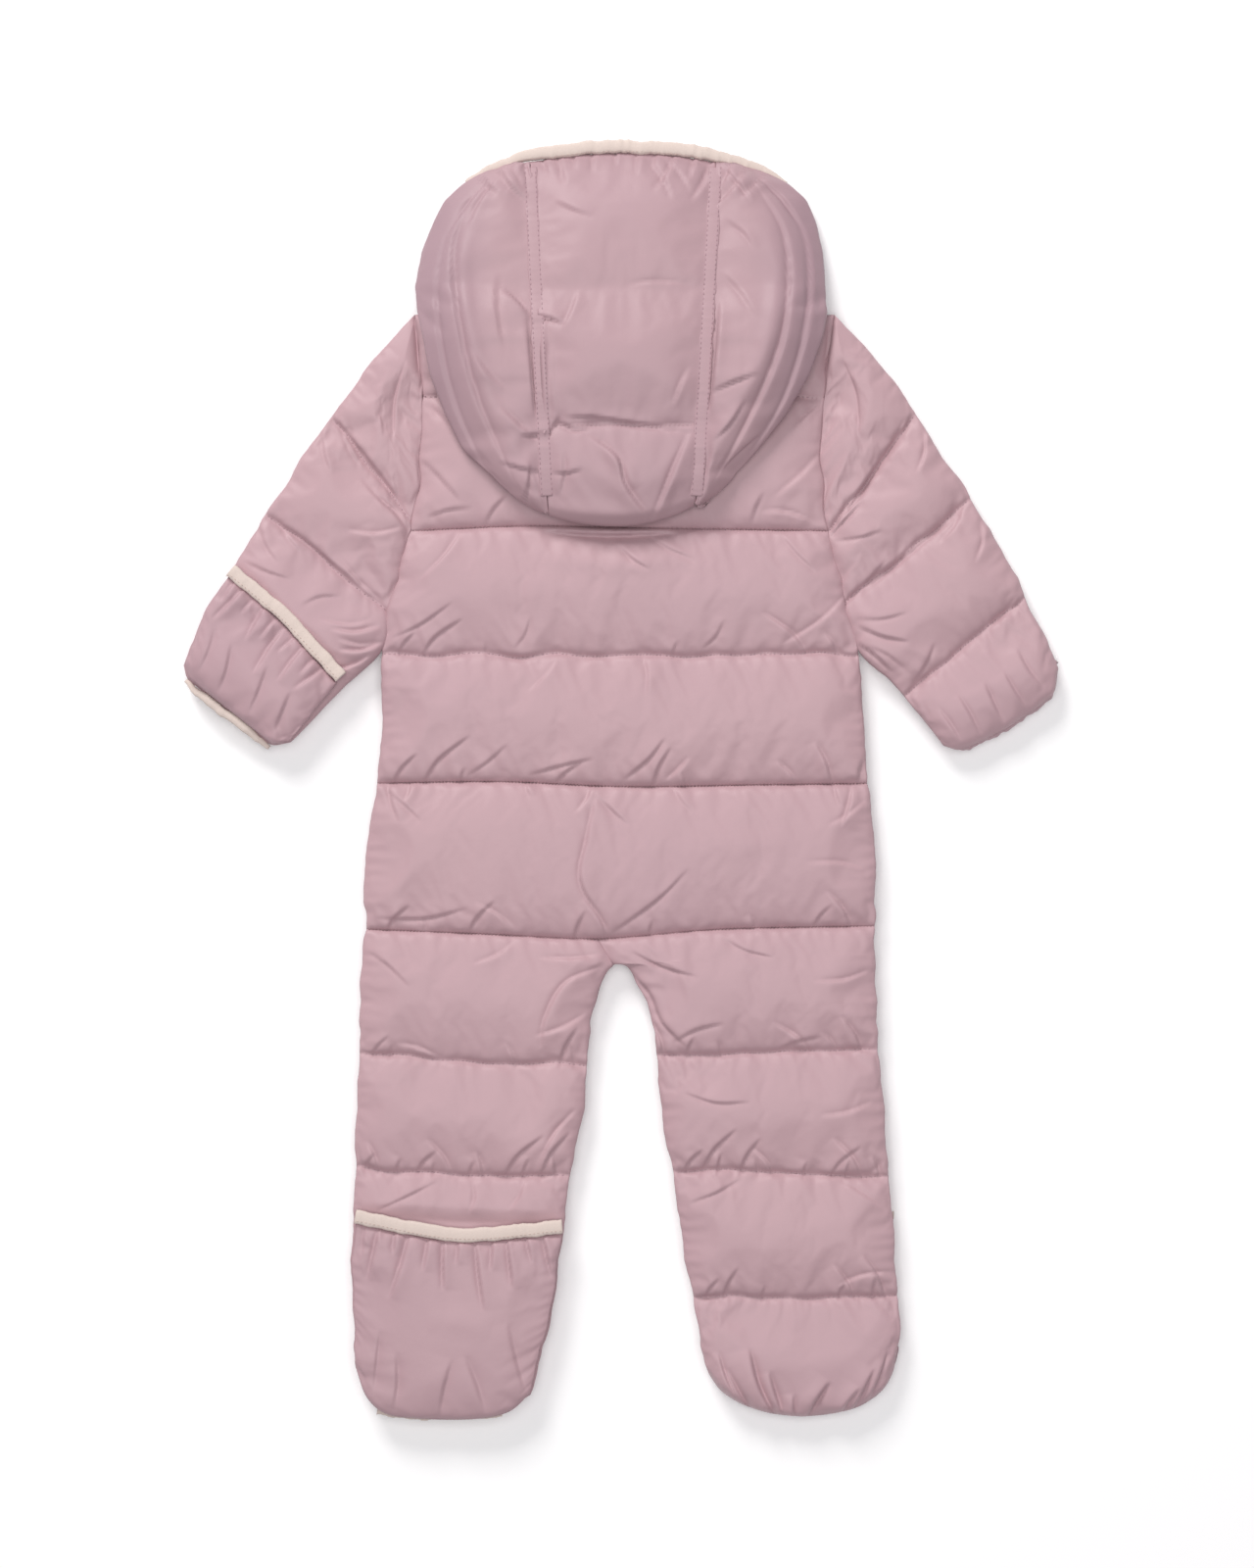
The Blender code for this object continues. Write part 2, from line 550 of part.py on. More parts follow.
def hood_side(name, side, column):
    """A side panel: from its seam out to the edge, and round under to the face opening. side is -1 or 1."""
    sections = []
    for row in HOOD_ROWS:
        y = row[0]
        seam = abs(hood_seam(column, y)) + GAP / 2
        edge = abs(hood_value(column, y))
        top, under = hood_value("top", y), hood_value("under", y)
        wall, lower = hood_walls(y)
        reach = hood_value("reach", y)
        reach = min(max(reach, seam if y < 285 else 0), edge - 9)
        width = edge - seam
        bend = min(wall, 0.45 * width)
        middle = (top - wall + under + lower) / 2
        seam_top = top - HOOD_FLANGE / 2
        crown = min(HOOD_CROWN, width * 0.12)
        outline = [
            (seam, seam_top),
            (seam + min(HOOD_FLANGE, width * 0.2), seam_top),
            (seam + width * 0.42, top + crown * 0.9),
            (seam + width * 0.72, top + crown * 0.5),
            (edge - bend * 0.35, top - wall * 0.45),
            (edge, middle),
            (edge - bend * 0.35, under + lower * 0.4),
            (edge - bend, under),
            (reach, under),
            (reach, under + lower * 0.8),
            (max(reach, edge - bend * 1.9), under + lower),
            (edge - bend, middle),
            (seam + (width - bend) * 0.7, top - wall * 0.9),
            (seam, top - wall),
        ]
        sections.append([(side * x, y, z) for x, z in outline])
    loft(name, sections, HOOD_CLOTH)


def hood_trim():
    """The two seam bands, and the elastic binding on the brim and on the face opening's edges."""
    for name, column in (("hood_band_left", "left"), ("hood_band_right", "right")):
        rows = [row[0] for row in HOOD_ROWS if 180 < row[0] < 370]
        path = [(hood_seam(column, y), y) for y in rows]
        low = [hood_value("top", y) - HOOD_FLANGE / 2 + 2 * LAYER for y in rows]
        binding(name, path, low, BAND_HEIGHT, width=BAND_WIDTH, colour=HOOD_CLOTH)
    binding("hood_binding_brim", BRIM, **BRIM_BINDING)
    for name, side in (("hood_binding_left", -1), ("hood_binding_right", 1)):
        beside = FACE_BINDING["width"] / 2 + 2 * GAP
        path = [(side * (hood_value("reach", y) - beside), y) for y in (300, 322, 340, 354)]
        binding(name, path, **FACE_BINDING)


SLIDER_Y = 226.0
ZIP_Z = 8.3  # the middle of the tapes
PLATE_HALF = 4.2
PLATE = 1.1
CHANNEL = 1.3  # from the middle of the tapes to the slider's plates
LUG_INNER = 1.5
LUG = 0.9
PIVOT_Z = ZIP_Z - CHANNEL - PLATE - 0.8


def block(name, low, high):
    """A box between two corners, in metres."""
    bm = bmesh.new()
    made = bmesh.ops.create_cube(bm, size=1)["verts"]
    bmesh.ops.scale(bm, vec=[(h - l) * MM for l, h in zip(low, high)], verts=made)
    bmesh.ops.translate(bm, vec=[(h + l) / 2 * MM for l, h in zip(low, high)], verts=made)
    mesh = bpy.data.meshes.new(name)
    bm.to_mesh(mesh)
    bm.free()
    item = bpy.data.objects.new(name, mesh)
    bpy.context.scene.collection.objects.link(item)
    return item


def zip_slider():
    """Two plates joined by a wedge between the parting tapes, and two lugs for the pull."""
    y = SLIDER_Y
    outer, inner = ZIP_Z - CHANNEL, ZIP_Z + CHANNEL
    item = block("zip_slider", (-PLATE_HALF, y - 6, outer - PLATE), (PLATE_HALF, y + 6, outer))
    low, high = PIVOT_Z - 0.6, outer - PLATE / 2
    parts = [
        ((-2.4, y + 2, outer - PLATE / 2), (2.4, y + 5.6, inner + PLATE / 2)),
        ((-PLATE_HALF, y - 6, inner), (PLATE_HALF, y + 6, inner + PLATE)),
        ((LUG_INNER, y - 1.2, low), (LUG_INNER + LUG, y + 1.2, high)),
        ((-LUG_INNER - LUG, y - 1.2, low), (-LUG_INNER, y + 1.2, high)),
    ]
    for i, (low, high) in enumerate(parts):
        helper = block(f"slider_helper_{i}", low, high)
        helper.hide_render = True
        helper.display_type = "WIRE"
        union = item.modifiers.new(f"union_{i}", "BOOLEAN")
        union.operation = "UNION"
        union.object = helper
    painted(item, METAL, 0.35, 0.9)


def zip_pull():
    """The pull tab: a round head between the lugs, on its axis, and a flat tab that widens."""
    radius, thick = 0.6, 1.1
    head, neck, half = LUG_INNER - GAP, 2.0, 2.6
    rows = [
        (neck + GAP, half),
        (PULL_LENGTH - 4, half),
        (PULL_LENGTH - 1.5, half * 0.8),
        (PULL_LENGTH, half * 0.4),
    ]
    bm = bmesh.new()
    angles = [math.radians(a) for a in range(-90, 91, 30)]
    arc = [(radius * math.cos(a), radius * math.sin(a)) for a in angles]
    profile = arc + [(-neck, thick / 2), (-neck, -thick / 2)]
    rings = [[bm.verts.new((x, y, z)) for y, z in profile] for x in (-head, head)]
    count = len(profile)
    for i in range(count):
        j = (i + 1) % count
        if i != count - 2:
            bm.faces.new((rings[0][i], rings[0][j], rings[1][j], rings[1][i]))
    bm.faces.new(rings[0])
    bm.faces.new(rings[1])
    last = [rings[0][-2], rings[1][-2], rings[1][-1], rings[0][-1]]
    for reach, wide in rows:
        corners = ((-wide, thick / 2), (wide, thick / 2), (wide, -thick / 2), (-wide, -thick / 2))
        ring = [bm.verts.new((x, -reach, z)) for x, z in corners]
        for i in range(4):
            j = (i + 1) % 4
            bm.faces.new((last[i], last[j], ring[j], ring[i]))
        last = ring
    bm.faces.new(last)
    item = finish_object("zip_pull", bm, METAL, 0.35, 0.9)
    item.location = (0, SLIDER_Y * MM, PIVOT_Z * MM)


def zip_fastener():
    """The closed front zip: two tapes, the chain as a plain strip, the slider and its pull tab."""
    near, far = CHAIN_HALF + GAP, ZIP_EDGE - GAP
    low, high = ZIP_Z - TAPE_HALF, ZIP_Z + TAPE_HALF
    painted(block("zip_tape_left", (-far, ZIP_BOTTOM, low), (-near, ZIP_TOP, high)), TAPE, 0.8, 0)
    painted(block("zip_tape_right", (near, ZIP_BOTTOM, low), (far, ZIP_TOP, high)), TAPE, 0.8, 0)
    chain_top = SLIDER_Y + 1.6
    half = CHANNEL - GAP
    chain = block("zip_chain", (-CHAIN_HALF, ZIP_BOTTOM, ZIP_Z - half), (CHAIN_HALF, chain_top, ZIP_Z + half))
    painted(chain, TAPE, 0.5, 0)
    zip_slider()
    zip_pull()


clear_scene()
back_and_front()
sleeves()
covers()
hood_centre()
hood_side("hood_side_left", -1, "left")
hood_side("hood_side_right", 1, "right")
hood_trim()
zip_fastener()
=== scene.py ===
"""Padded baby snowsuit laid flat with its back up: quilted nylon over wadding, with cream elastic edges."""

import json
import math

import bmesh
import bpy
import numpy as np
from mathutils import Matrix, Vector, noise

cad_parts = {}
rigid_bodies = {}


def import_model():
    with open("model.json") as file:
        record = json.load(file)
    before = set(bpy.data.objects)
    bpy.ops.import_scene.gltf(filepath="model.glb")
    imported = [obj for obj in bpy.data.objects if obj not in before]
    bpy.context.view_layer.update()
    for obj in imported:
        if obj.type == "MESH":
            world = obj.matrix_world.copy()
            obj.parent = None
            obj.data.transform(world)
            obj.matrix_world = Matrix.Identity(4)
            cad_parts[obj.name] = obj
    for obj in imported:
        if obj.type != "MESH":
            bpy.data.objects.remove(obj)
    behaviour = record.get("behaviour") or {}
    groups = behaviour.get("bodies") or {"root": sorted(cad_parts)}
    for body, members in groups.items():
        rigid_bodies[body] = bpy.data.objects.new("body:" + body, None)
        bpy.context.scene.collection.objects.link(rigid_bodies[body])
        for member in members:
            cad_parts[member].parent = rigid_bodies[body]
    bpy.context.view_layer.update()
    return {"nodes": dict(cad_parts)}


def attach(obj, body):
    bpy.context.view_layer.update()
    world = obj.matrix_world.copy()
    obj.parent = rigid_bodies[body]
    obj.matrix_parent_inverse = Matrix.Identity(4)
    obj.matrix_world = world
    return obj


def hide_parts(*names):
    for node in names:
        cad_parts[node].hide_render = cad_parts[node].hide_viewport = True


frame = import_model()

# ---------------------------------------------------------------- surface, light and camera
# The suit lies on a plain white surface. A wide soft box stands to the upper left and a pale sky fills the
# rest, so the shadow falls softly to the lower right.
MM = 0.001
scene = bpy.context.scene
scene.view_settings.view_transform = "Standard"
bpy.ops.mesh.primitive_plane_add(size=8, location=(0, 0, -0.0004))
floor = bpy.context.object
floor.name = "white surface"
paper = bpy.data.materials.new("white surface")
paper.use_nodes = True
for setting, value in (("Base Color", (0.92, 0.92, 0.92, 1)), ("Roughness", 0.9), ("Specular IOR Level", 0.1),
                       ("Emission Color", (1, 1, 1, 1)), ("Emission Strength", 0.1)):
    paper.node_tree.nodes["Principled BSDF"].inputs[setting].default_value = value
floor.data.materials.append(paper)

sky = bpy.data.worlds.new("studio")
scene.world = sky
sky.use_nodes = True
sky.node_tree.nodes["Background"].inputs["Color"].default_value = (0.95, 0.94, 1.0, 1)
sky.node_tree.nodes["Background"].inputs["Strength"].default_value = 0.27


def soft_box(name, place, aim, size, watts, colour):
    light = bpy.data.lights.new(name, "AREA")
    light.shape = "RECTANGLE"
    light.size, light.size_y = size
    light.energy = watts
    light.color = colour
    item = bpy.data.objects.new(name, light)
    scene.collection.objects.link(item)
    item.location = place
    item.rotation_euler = (Vector(aim) - Vector(place)).to_track_quat("-Z", "Y").to_euler()


soft_box("overhead soft box", (0, 0, 3.2), (0, 0, 0), (2.2, 2.2), 57, (1.0, 0.99, 0.985))
soft_box("key soft box", (-1.3, 3.1, 2.3), (0, 0, 0), (1.4, 1.4), 108, (1.0, 0.985, 0.97))

lens = bpy.data.cameras.new("camera")
lens.lens = 100
lens.sensor_width = 36
camera = bpy.data.objects.new("camera", lens)
scene.collection.objects.link(camera)
camera.location = (0.0024, -0.0024, 2.67)
scene.camera = camera

# ---------------------------------------------------------------- back of the suit
# Yoke, body, seat and legs: two layers of smooth nylon over wadding, quilted across and sewn edge to edge.
# The wadding swells between the rows of stitching, and the cloth puckers along them.


class Port:
    """A socket of a material's node tree; arithmetic on it adds Math nodes."""

    def __init__(self, tree, socket=None):
        self.tree = tree
        self.socket = socket

    def node(self, kind, output=0, settings=(), inputs=()):
        step = self.tree.nodes.new(kind)
        for name, value in dict(settings).items():
            setattr(step, name, value)
        for name, value in dict(inputs).items():
            if isinstance(value, Port):
                self.tree.links.new(value.socket, step.inputs[name])
            else:
                step.inputs[name].default_value = value
        return Port(self.tree, step.outputs[output])

    def maths(self, operation, first, second):
        return self.node("ShaderNodeMath", 0, {"operation": operation}, {0: first, 1: second})

    def __add__(self, other):
        return self.maths("ADD", self, other)

    def __sub__(self, other):
        return self.maths("SUBTRACT", self, other)

    def __mul__(self, other):
        return self.maths("MULTIPLY", self, other)

    def noise(self, scale, detail=2.0):
        """Noise at this place, so fine and in so many layers."""
        return self.node("ShaderNodeTexNoise", 0, {}, {"Vector": self, "Scale": scale, "Detail": detail})

    def blend(self, first, second):
        """Goes from one colour to another as this value goes from 0 to 1."""
        first, second = (tint if isinstance(tint, Port) else (*tint, 1) for tint in (first, second))
        return self.node("ShaderNodeMix", 2, {"data_type": "RGBA"}, {0: self, 6: first, 7: second})

    def bump(self, strength, distance):
        """A relief with this height."""
        settings = {"Strength": strength, "Distance": distance, "Height": self}
        return self.node("ShaderNodeBump", 0, {}, settings)

    def feed(self, surface, setting):
        self.tree.links.new(self.socket, surface.inputs[setting])


def finish_of(name):
    """A new material, its shader, and a Port for the place on the object."""
    material = bpy.data.materials.new(name)
    material.use_nodes = True
    place = Port(material.node_tree).node("ShaderNodeTexCoord", "Object")
    return material, material.node_tree.nodes["Principled BSDF"], place


def nylon(name, colour, shade, roughness=0.5, painted_side_shade=None):
    """Smooth woven nylon: two close tints in soft drifts, a fine weave and the crinkle of thin cloth, and
    optionally a painted shade, a darker tint towards the outer sides.
    """
    material, surface, place = finish_of(name)
    drift, grain, crinkle = place.noise(7.0), place.noise(900.0, 1.0), place.noise(130.0, 3.0)
    tint = (drift * 0.9 + grain * 0.25 - 0.1).blend(colour, shade)
    if painted_side_shade:
        # painted shade: from about 75 mm to 111 mm either side of the middle, the tint fades to the darker
        # one given, where the cloth curves away from the light
        aside = place.node("ShaderNodeSeparateXYZ", 0, {}, {"Vector": place})
        past = place.maths("ABSOLUTE", aside, 0.0) * 28.0 - 2.1
        past = place.maths("MINIMUM", place.maths("MAXIMUM", past, 0.0), 1.0)
        tint = past.blend(tint, painted_side_shade)
    tint.feed(surface, "Base Color")
    (crinkle * 0.7 + grain * 0.08).bump(0.35, 0.0006).feed(surface, "Normal")
    (drift * 0.1 + (roughness - 0.05)).feed(surface, "Roughness")
    surface.inputs["Specular IOR Level"].default_value = 0.35
    surface.inputs["Sheen Weight"].default_value = 0.12
    surface.inputs["Sheen Roughness"].default_value = 0.4
    return material


shell = nylon("dusty pink nylon", (0.515, 0.338, 0.362), (0.475, 0.312, 0.345))


def run(points, count):
    """Points spread evenly by length along a smooth line through the given ones."""
    given = np.array(points, float)
    steps = np.linalg.norm(np.diff(given, axis=0), axis=1)[:, None]
    ways = np.vstack([given[1] - given[0], given[2:] - given[:-2], given[-1] - given[-2]])
    reach = np.vstack([steps[:1], np.minimum(steps[1:], steps[:-1]), steps[-1:]])
    ways *= reach / np.linalg.norm(ways, axis=1)[:, None]
    t = np.linspace(0, 1, 13)[:-1, None]
    fine = [
        a + t * u + t * t * (3 * (b - a) - 2 * u - v) + t**3 * (2 * (a - b) + u + v)
        for a, b, u, v in zip(given, given[1:], ways, ways[1:])
    ]
    fine = np.vstack([*fine, given[-1:]])
    gone = np.concatenate([[0], np.cumsum(np.linalg.norm(np.diff(fine, axis=0), axis=1))])
    where = np.linspace(0, gone[-1], count)
    return np.column_stack([np.interp(where, gone, fine[:, k]) for k in range(fine.shape[1])])


def headings_of(line):
    """The direction of a line at each of its points."""
    ways = np.gradient(line, axis=0)
    return ways / np.linalg.norm(ways, axis=1)[:, None]


def length_of(points):
    """How long the smooth line through some points is."""
    return float(np.linalg.norm(np.diff(run(points, 60), axis=0), axis=1).sum())


def stretch(edge, first, last, count):
    """The part of a side edge between the places nearest to two points."""
    fine = run(edge, 600)
    i, j = (np.argmin(np.linalg.norm(fine - point, axis=1)) for point in (first, last))
    where = np.linspace(i, j, count)
    return np.column_stack([np.interp(where, np.arange(600), fine[:, k]) for k in (0, 1)])


def wave(x, y, size, seed=0.0):
    """An even, slow unevenness from -1 to 1."""
    return 2 * noise.noise(Vector((x / size, y / size, seed)))


def laid_out(left, right, lines, cell, bulge):
    """Rows of points for a cut panel, from line to line of stitching and between its two side edges."""
    columns = round(max(math.dist(line[0], line[-1]) for line in lines) / cell) + 1
    across = np.linspace(0, 1, columns)[None, :, None]
    rows, sewn = [], [0]
    for k, (upper, lower) in enumerate(zip(lines, lines[1:])):
        a, b = run(upper, columns), run(lower, columns)
        for line, inner in ((a, k > 0), (b, k + 2 < len(lines))):
            if inner:
                for point in line[1:-1]:
                    point[1] += 1.6 * wave(*point, 26.0)
        count = max(3, round(np.mean(np.linalg.norm(a - b, axis=1)) / cell))
        down = np.linspace(0, 1, count + 1)[:, None, None]
        sides = []
        for edge, end in ((left, 0), (right, -1)):
            true = stretch(edge, a[end], b[end], count + 1)[:, None]
            true[:, :, 0] += (-1, 1)[end] * bulge * np.sin(math.pi * down[:, :, 0]) ** 0.7
            uneven = [[0.35 * wave(0, y, 6.0, 3.0) + 1.1 * wave(0, y, 19.0, 8.0)] for y in true[:, 0, 1]]
            true[:, :, 0] += uneven
            sides.append(true - (1 - down) * a[end] - down * b[end])
        grid = (1 - down) * a + down * b + (1 - across) * sides[0] + across * sides[1]
        rows.append(grid[:-1])
        sewn.append(sewn[-1] + count)
    return np.concatenate([*rows, grid[-1:]]), sewn


def swell(distance, reach):
    """How full the wadding is at a distance from stitching, from 0 to 1."""
    return 1 - (1 - np.minimum(distance / reach, 1)) ** 2.4


def made(name, bm, material):
    """The finished shape as an object of its own."""
    mesh = bpy.data.meshes.new(name)
    bm.to_mesh(mesh)
    bm.free()
    mesh.materials.append(material)
    item = bpy.data.objects.new(name, mesh)
    scene.collection.objects.link(item)
    return item


def belongs(item, slot, *nodes):
    """Attaches the object to the suit, to move with it, and hides the nodes that it stands for; the slot is
    not used.
    """
    if nodes:
        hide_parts(*nodes)
    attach(item, "garment")


def cloth_grid(name, points, pinned, facing, material):
    """A sheet through rows of points in millimetres, top row first; pinned points stay where they are."""
    rows, columns = pinned.shape
    bm = bmesh.new()
    bmesh.ops.create_grid(bm, x_segments=columns - 1, y_segments=rows - 1, size=0.5)
    for vert, place in zip(bm.verts, points[::-1].reshape(-1, 3)):
        vert.co = place * MM
    bm.normal_update()
    if facing * sum(face.normal.z for face in bm.faces) < 0:
        bmesh.ops.reverse_faces(bm, faces=bm.faces[:])
    item = made(name, bm, material)
    group = item.vertex_groups.new(name="sewn")
    group.add([int(i) for i in np.flatnonzero(pinned[::-1])], 1.0, "REPLACE")
    return item


def cloth(item, pressure, extra=0.02):
    """Makes the sheet a cloth with some extra length, swollen from inside by its wadding."""
    modifier = item.modifiers.new("cloth", "CLOTH")
    modifier.point_cache.frame_end = 20
    settings = modifier.settings
    settings.quality = 5
    settings.mass = 0.3
    settings.tension_stiffness = settings.compression_stiffness = 15
    settings.shear_stiffness = 5
    settings.bending_stiffness = 0.5
    settings.vertex_group_mass = "sewn"
    settings.use_pressure = True
    settings.uniform_pressure_force = pressure
    settings.shrink_min = settings.shrink_max = -extra
    settings.effector_weights.gravity = 0
    modifier.collision_settings.use_collision = False


def near(places, line, margin):
    """Which places lie inside the box round a line, with a margin."""
    low, high = line.min(axis=0) - margin, line.max(axis=0) + margin
    return np.flatnonzero(np.all((places > low) & (places < high), axis=1))


def folds(places, table):
    """Height that ridges and creases add at (x, y). A row of the table is a depth, a width and the lines,
    each as x and y in turn. A depth below 0 is a sharp crease, lapped on its left side."""
    added = np.zeros(len(places))
    for depth, width, line in ((depth, width, line) for depth, width, *lines in table for line in lines):
        points = np.reshape(line, (-1, 2)).astype(float)
        if len(points) == 3:
            points[1] = points.T @ (0.25, 0.5, 0.25)
        line = run(points, 60)
        close = near(places, line, 9 * width + 2)
        if not len(close):
            continue
        offsets = places[close][:, None] - line[None]
        nearest = np.argmin((offsets**2).sum(axis=2), axis=1)
        offset = offsets[np.arange(len(close)), nearest]
        ways = np.gradient(line, axis=0)[nearest]
        step = np.linalg.norm(ways, axis=1)
        along = (offset * ways).sum(axis=1) / step
        side = (ways[:, 0] * offset[:, 1] - ways[:, 1] * offset[:, 0]) / step
        gap = np.hypot(side, np.maximum(np.abs(along) - 0.6 * step, 0))
        full = np.sin(math.pi * np.clip((nearest + along / step) / 59, 0, 1)) ** 0.8
        if depth > 0:
            added[close] += depth * full * np.exp(-((gap / width) ** 2))
            continue
        lap = 0.5 * (1 + np.tanh(side / 0.6)) * np.exp(-gap / (3.5 * width))
        added[close] += depth * full * (1.25 * np.exp(-gap / width) - 1.4 * lap)
    return added


def gathered(line, side, table, strength=0.8):
    """Small folds that run off a line, each from so many per cent along it: length, depth and lean."""
    path = run(line, 101)
    small = []
    for k, length, depth, lean in table:
        way = path[min(k + 1, 100)] - path[max(k - 1, 0)]
        way /= np.linalg.norm(way)
        off = np.array([way[1], -way[0]]) * side
        end = path[k] + (off + way * lean) * length
        middle = path[k] + (off + way * lean * 0.4) * length * 0.5
        start = path[k] - off * 3
        small.append((depth * strength, 0.9 + length * 0.015, (*start, *middle, *end)))
    return small


pads = []
SEWN_HEIGHT = 2.6


def quilted(name, material, node, left, right, lines, face, crest, facing=1, cell=2.1, bulge=0.0, extra=0.02,
            slot="shell_cloth", **more):
    """A closed pad on a flat face: its side edges and its lines of stitching in millimetres, from the top.

    It may have folds, and may be pressed: a line between two points, and the height left on its right."""
    grid, sewn = laid_out(left, right, lines, cell, bulge)
    rows, columns = grid.shape[:2]
    along = np.zeros((rows, columns))
    along[:, 1:] = np.cumsum(np.linalg.norm(np.diff(grid, axis=1), axis=2), axis=1)
    down = np.zeros((rows, columns))
    down[1:] = np.cumsum(np.linalg.norm(np.diff(grid, axis=0), axis=2), axis=0)
    side_gap = np.minimum(along, along[:, -1:] - along)
    line_gap = np.min([np.abs(down - down[k]) for k in sewn], axis=0)
    height = SEWN_HEIGHT + (crest - SEWN_HEIGHT) * swell(side_gap, 30) * swell(line_gap, 30)
    pinned = np.zeros((rows, columns), bool)
    pinned[sewn] = True
    pinned[:, [0, -1]] = True
    pinned[along[:, -1] < 30] = True
    rough = [wave(x * 1.4 + y * 0.6, y * 0.8, 11.0, 5.0) * (0.6 + 0.6 * wave(x, y, 37.0, 1.0))
             for x, y in grid.reshape(-1, 2)]
    height += 0.9 * np.reshape(rough, (rows, columns)) * np.exp(-line_gap / 9) * ~pinned
    item = cloth_grid(name, np.dstack([grid, face + facing * height]), pinned, facing, material)
    cloth(item, 3.0, extra)
    belongs(item, slot, node)
    pads.append((item, face, facing, crest, [grid[k] for k in sewn], more))


ARMHOLE_LEFT = [(-127, 284), (-123, 240), (-124, 190), (-130, 152), (-139, 118), (-147, 80)]
ARMHOLE_RIGHT = [(129, 284), (123, 240), (121, 190), (125, 152), (133, 118), (143, 80)]
YOKE_SEAM = [(-130, 152), (-60, 155), (0, 154), (60, 153), (125, 152)]
SIDE_LEFT = ARMHOLE_LEFT[3:] + [(-146, 35), (-150, -2), (-156, -50), (-157.5, -91)]
SIDE_RIGHT = ARMHOLE_RIGHT[3:] + [(146, 35), (149, -2), (153, -50), (152.5, -89)]
BODY_ROW = [(-147, 77), (0, 76), (143, 77)]
WAIST = [(-150, -2), (-75, -1), (0, -4), (75, -3), (149, -2)]
HIP = [(-157.5, -91), (-85, -94), (-15, -97), (59, -91), (152.5, -89)]
LEG_OUT_LEFT = [(-157.5, -91), (-160, -155), (-163, -236), (-164.5, -300), (-163, -357)]
LEG_OUT_RIGHT = [(152.5, -89), (155, -160), (161, -236), (167, -315), (168, -348)]
LEG_IN_LEFT = [(-15, -97), (-6.5, -112.4), (-9.6, -116), (-12.6, -122.5), (-17.4, -134.5), (-20.5, -148),
               (-25, -200), (-33, -242), (-43, -316), (-56, -375)]
LEG_IN_RIGHT = [(-15, -97), (-6.2, -112.1), (-3, -112.3), (0, -112.6), (3.4, -113.8), (6.8, -117.5),
                (10, -124), (15, -134.5), (19, -148), (24, -200), (31, -242), (43, -316), (53, -366)]
ANKLE_LEFT = [(-163, -357), (-156, -373), (-148, -381.5), (-136, -385), (-110, -386.5), (-84, -386),
              (-67, -381.5), (-56, -375)]
ANKLE_RIGHT = [(168, -348), (165, -362), (158, -373), (145, -382), (128, -386.5), (110, -388), (90, -386),
               (72, -380), (60, -372), (53, -362)]
KNEE_LEFT = [(-161, -167), (-90, -173), (-23, -174)]
KNEE_RIGHT = [(19, -168), (90, -166), (156, -164)]
SHIN_LEFT = [(-163, -236), (-100, -240), (-33, -241)]
SHIN_RIGHT = [(31, -238), (100, -240), (162, -241)]
FOOT_RIGHT = [(43, -315), (110, -316), (168, -314)]
BACK, BACK_CREST = 11.2, 10.2
SHOULDERS = [(-127, 284), (-64, 281), (0, 273), (64, 281), (129, 284)]
yoke_folds = [
    (-3, 1.3, (-127, 286, -124.5, 266, -123.4, 246), (129, 286, 125, 266, 123.2, 246)),
    (-1.6, 1.2, (-122, 230, -112, 226, -104, 214)),
    (-1.5, 1.2, (121, 230, 112, 224, 104, 214), (-124, 196, -112, 186, -98, 168)),
    (-1.4, 1.2, (121, 200, 112, 188, 92, 172)),
    (-1.3, 1.1, (-120, 160, -106, 166, -92, 166), (78, 156, 80, 166, 86, 176)),
    (-1.4, 1.1, (116, 158, 98, 166, 84, 164), (-84, 156, -80, 166, -70, 174)),
    (-2.2, 1.4, (-42, 158, -14, 155.5, 30, 157)),
]
quilted("yoke_pad", shell, "back_yoke", ARMHOLE_LEFT, ARMHOLE_RIGHT,
        [SHOULDERS, [(-123, 234), (0, 234), (122, 234)], YOKE_SEAM], BACK, 8.8, folds=yoke_folds, cell=2.8)
body_folds = [
    (1.8, 8, (-56, 140, -20, 133, 8, 132, 42, 140)), (-4.2, 3.2, (-50, 152, -12, 147, 34, 151)),
    (-1.6, 1.2, (-4, 144, 4, 134, 16, 128)), (-1.3, 1.1, (14, 150, 26, 140, 44, 134)),
    (-1.5, 1.3, (-58, 3, -34, 10, -18, 13)), (-1.7, 1.4, (0, 0, 18, 12, 26, 26)),
    (-1.4, 1.2, (40, 14, 34, 6, 26, 0)),
    (-1.1, 1.2, (-96, 2, -82, 10, -70, 22), (12, 76, 16, 66, 14, 52), (48, 80, 58, 86, 62, 98)),
    (-1.3, 1.3, (140, 118, 124, 96, 96, 82)), (-1.3, 1.2, (-142, 86, -124, 92, -104, 108)),
    (-1, 1, (-66, 80, -58, 88, -56, 100)), (-1.2, 1.3, (-100, 150, -108, 136, -124, 122)),
    (-1.1, 1.3, (96, 150, 104, 138, 118, 126)), (0.8, 10, (-96, 112, -50, 118, -10, 112)),
    (-0.8, 1.2, (-40, 74, -46, 64, -58, 54)),
]
body_folds += gathered(WAIST, -1, [
    (3, 18, -2, 0.9), (9, 28, -2.1, 1.1), (17, 9, -1.5, 0.3), (36, 14, -1.8, 1.2), (56, 24, -2.3, 0.5),
    (63, 9, -1.5, -0.3), (86, 15, -1.8, -0.9), (93, 26, -2.3, -0.4), (98, 14, -1.8, 0.2),
])
body_folds += gathered(BODY_ROW, -1, [
    (3, 14, -1.8, 0.9), (8, 22, -2, 1.2), (22, 8, -1.3, -0.2), (61, 9, -1.4, 0.4), (90, 26, -2.1, -1.1),
    (96, 13, -1.7, -0.6),
])
quilted("body_pad", shell, "back_body", SIDE_LEFT, SIDE_RIGHT,
        [YOKE_SEAM, BODY_ROW, WAIST], BACK, BACK_CREST, folds=body_folds, bulge=0.8)
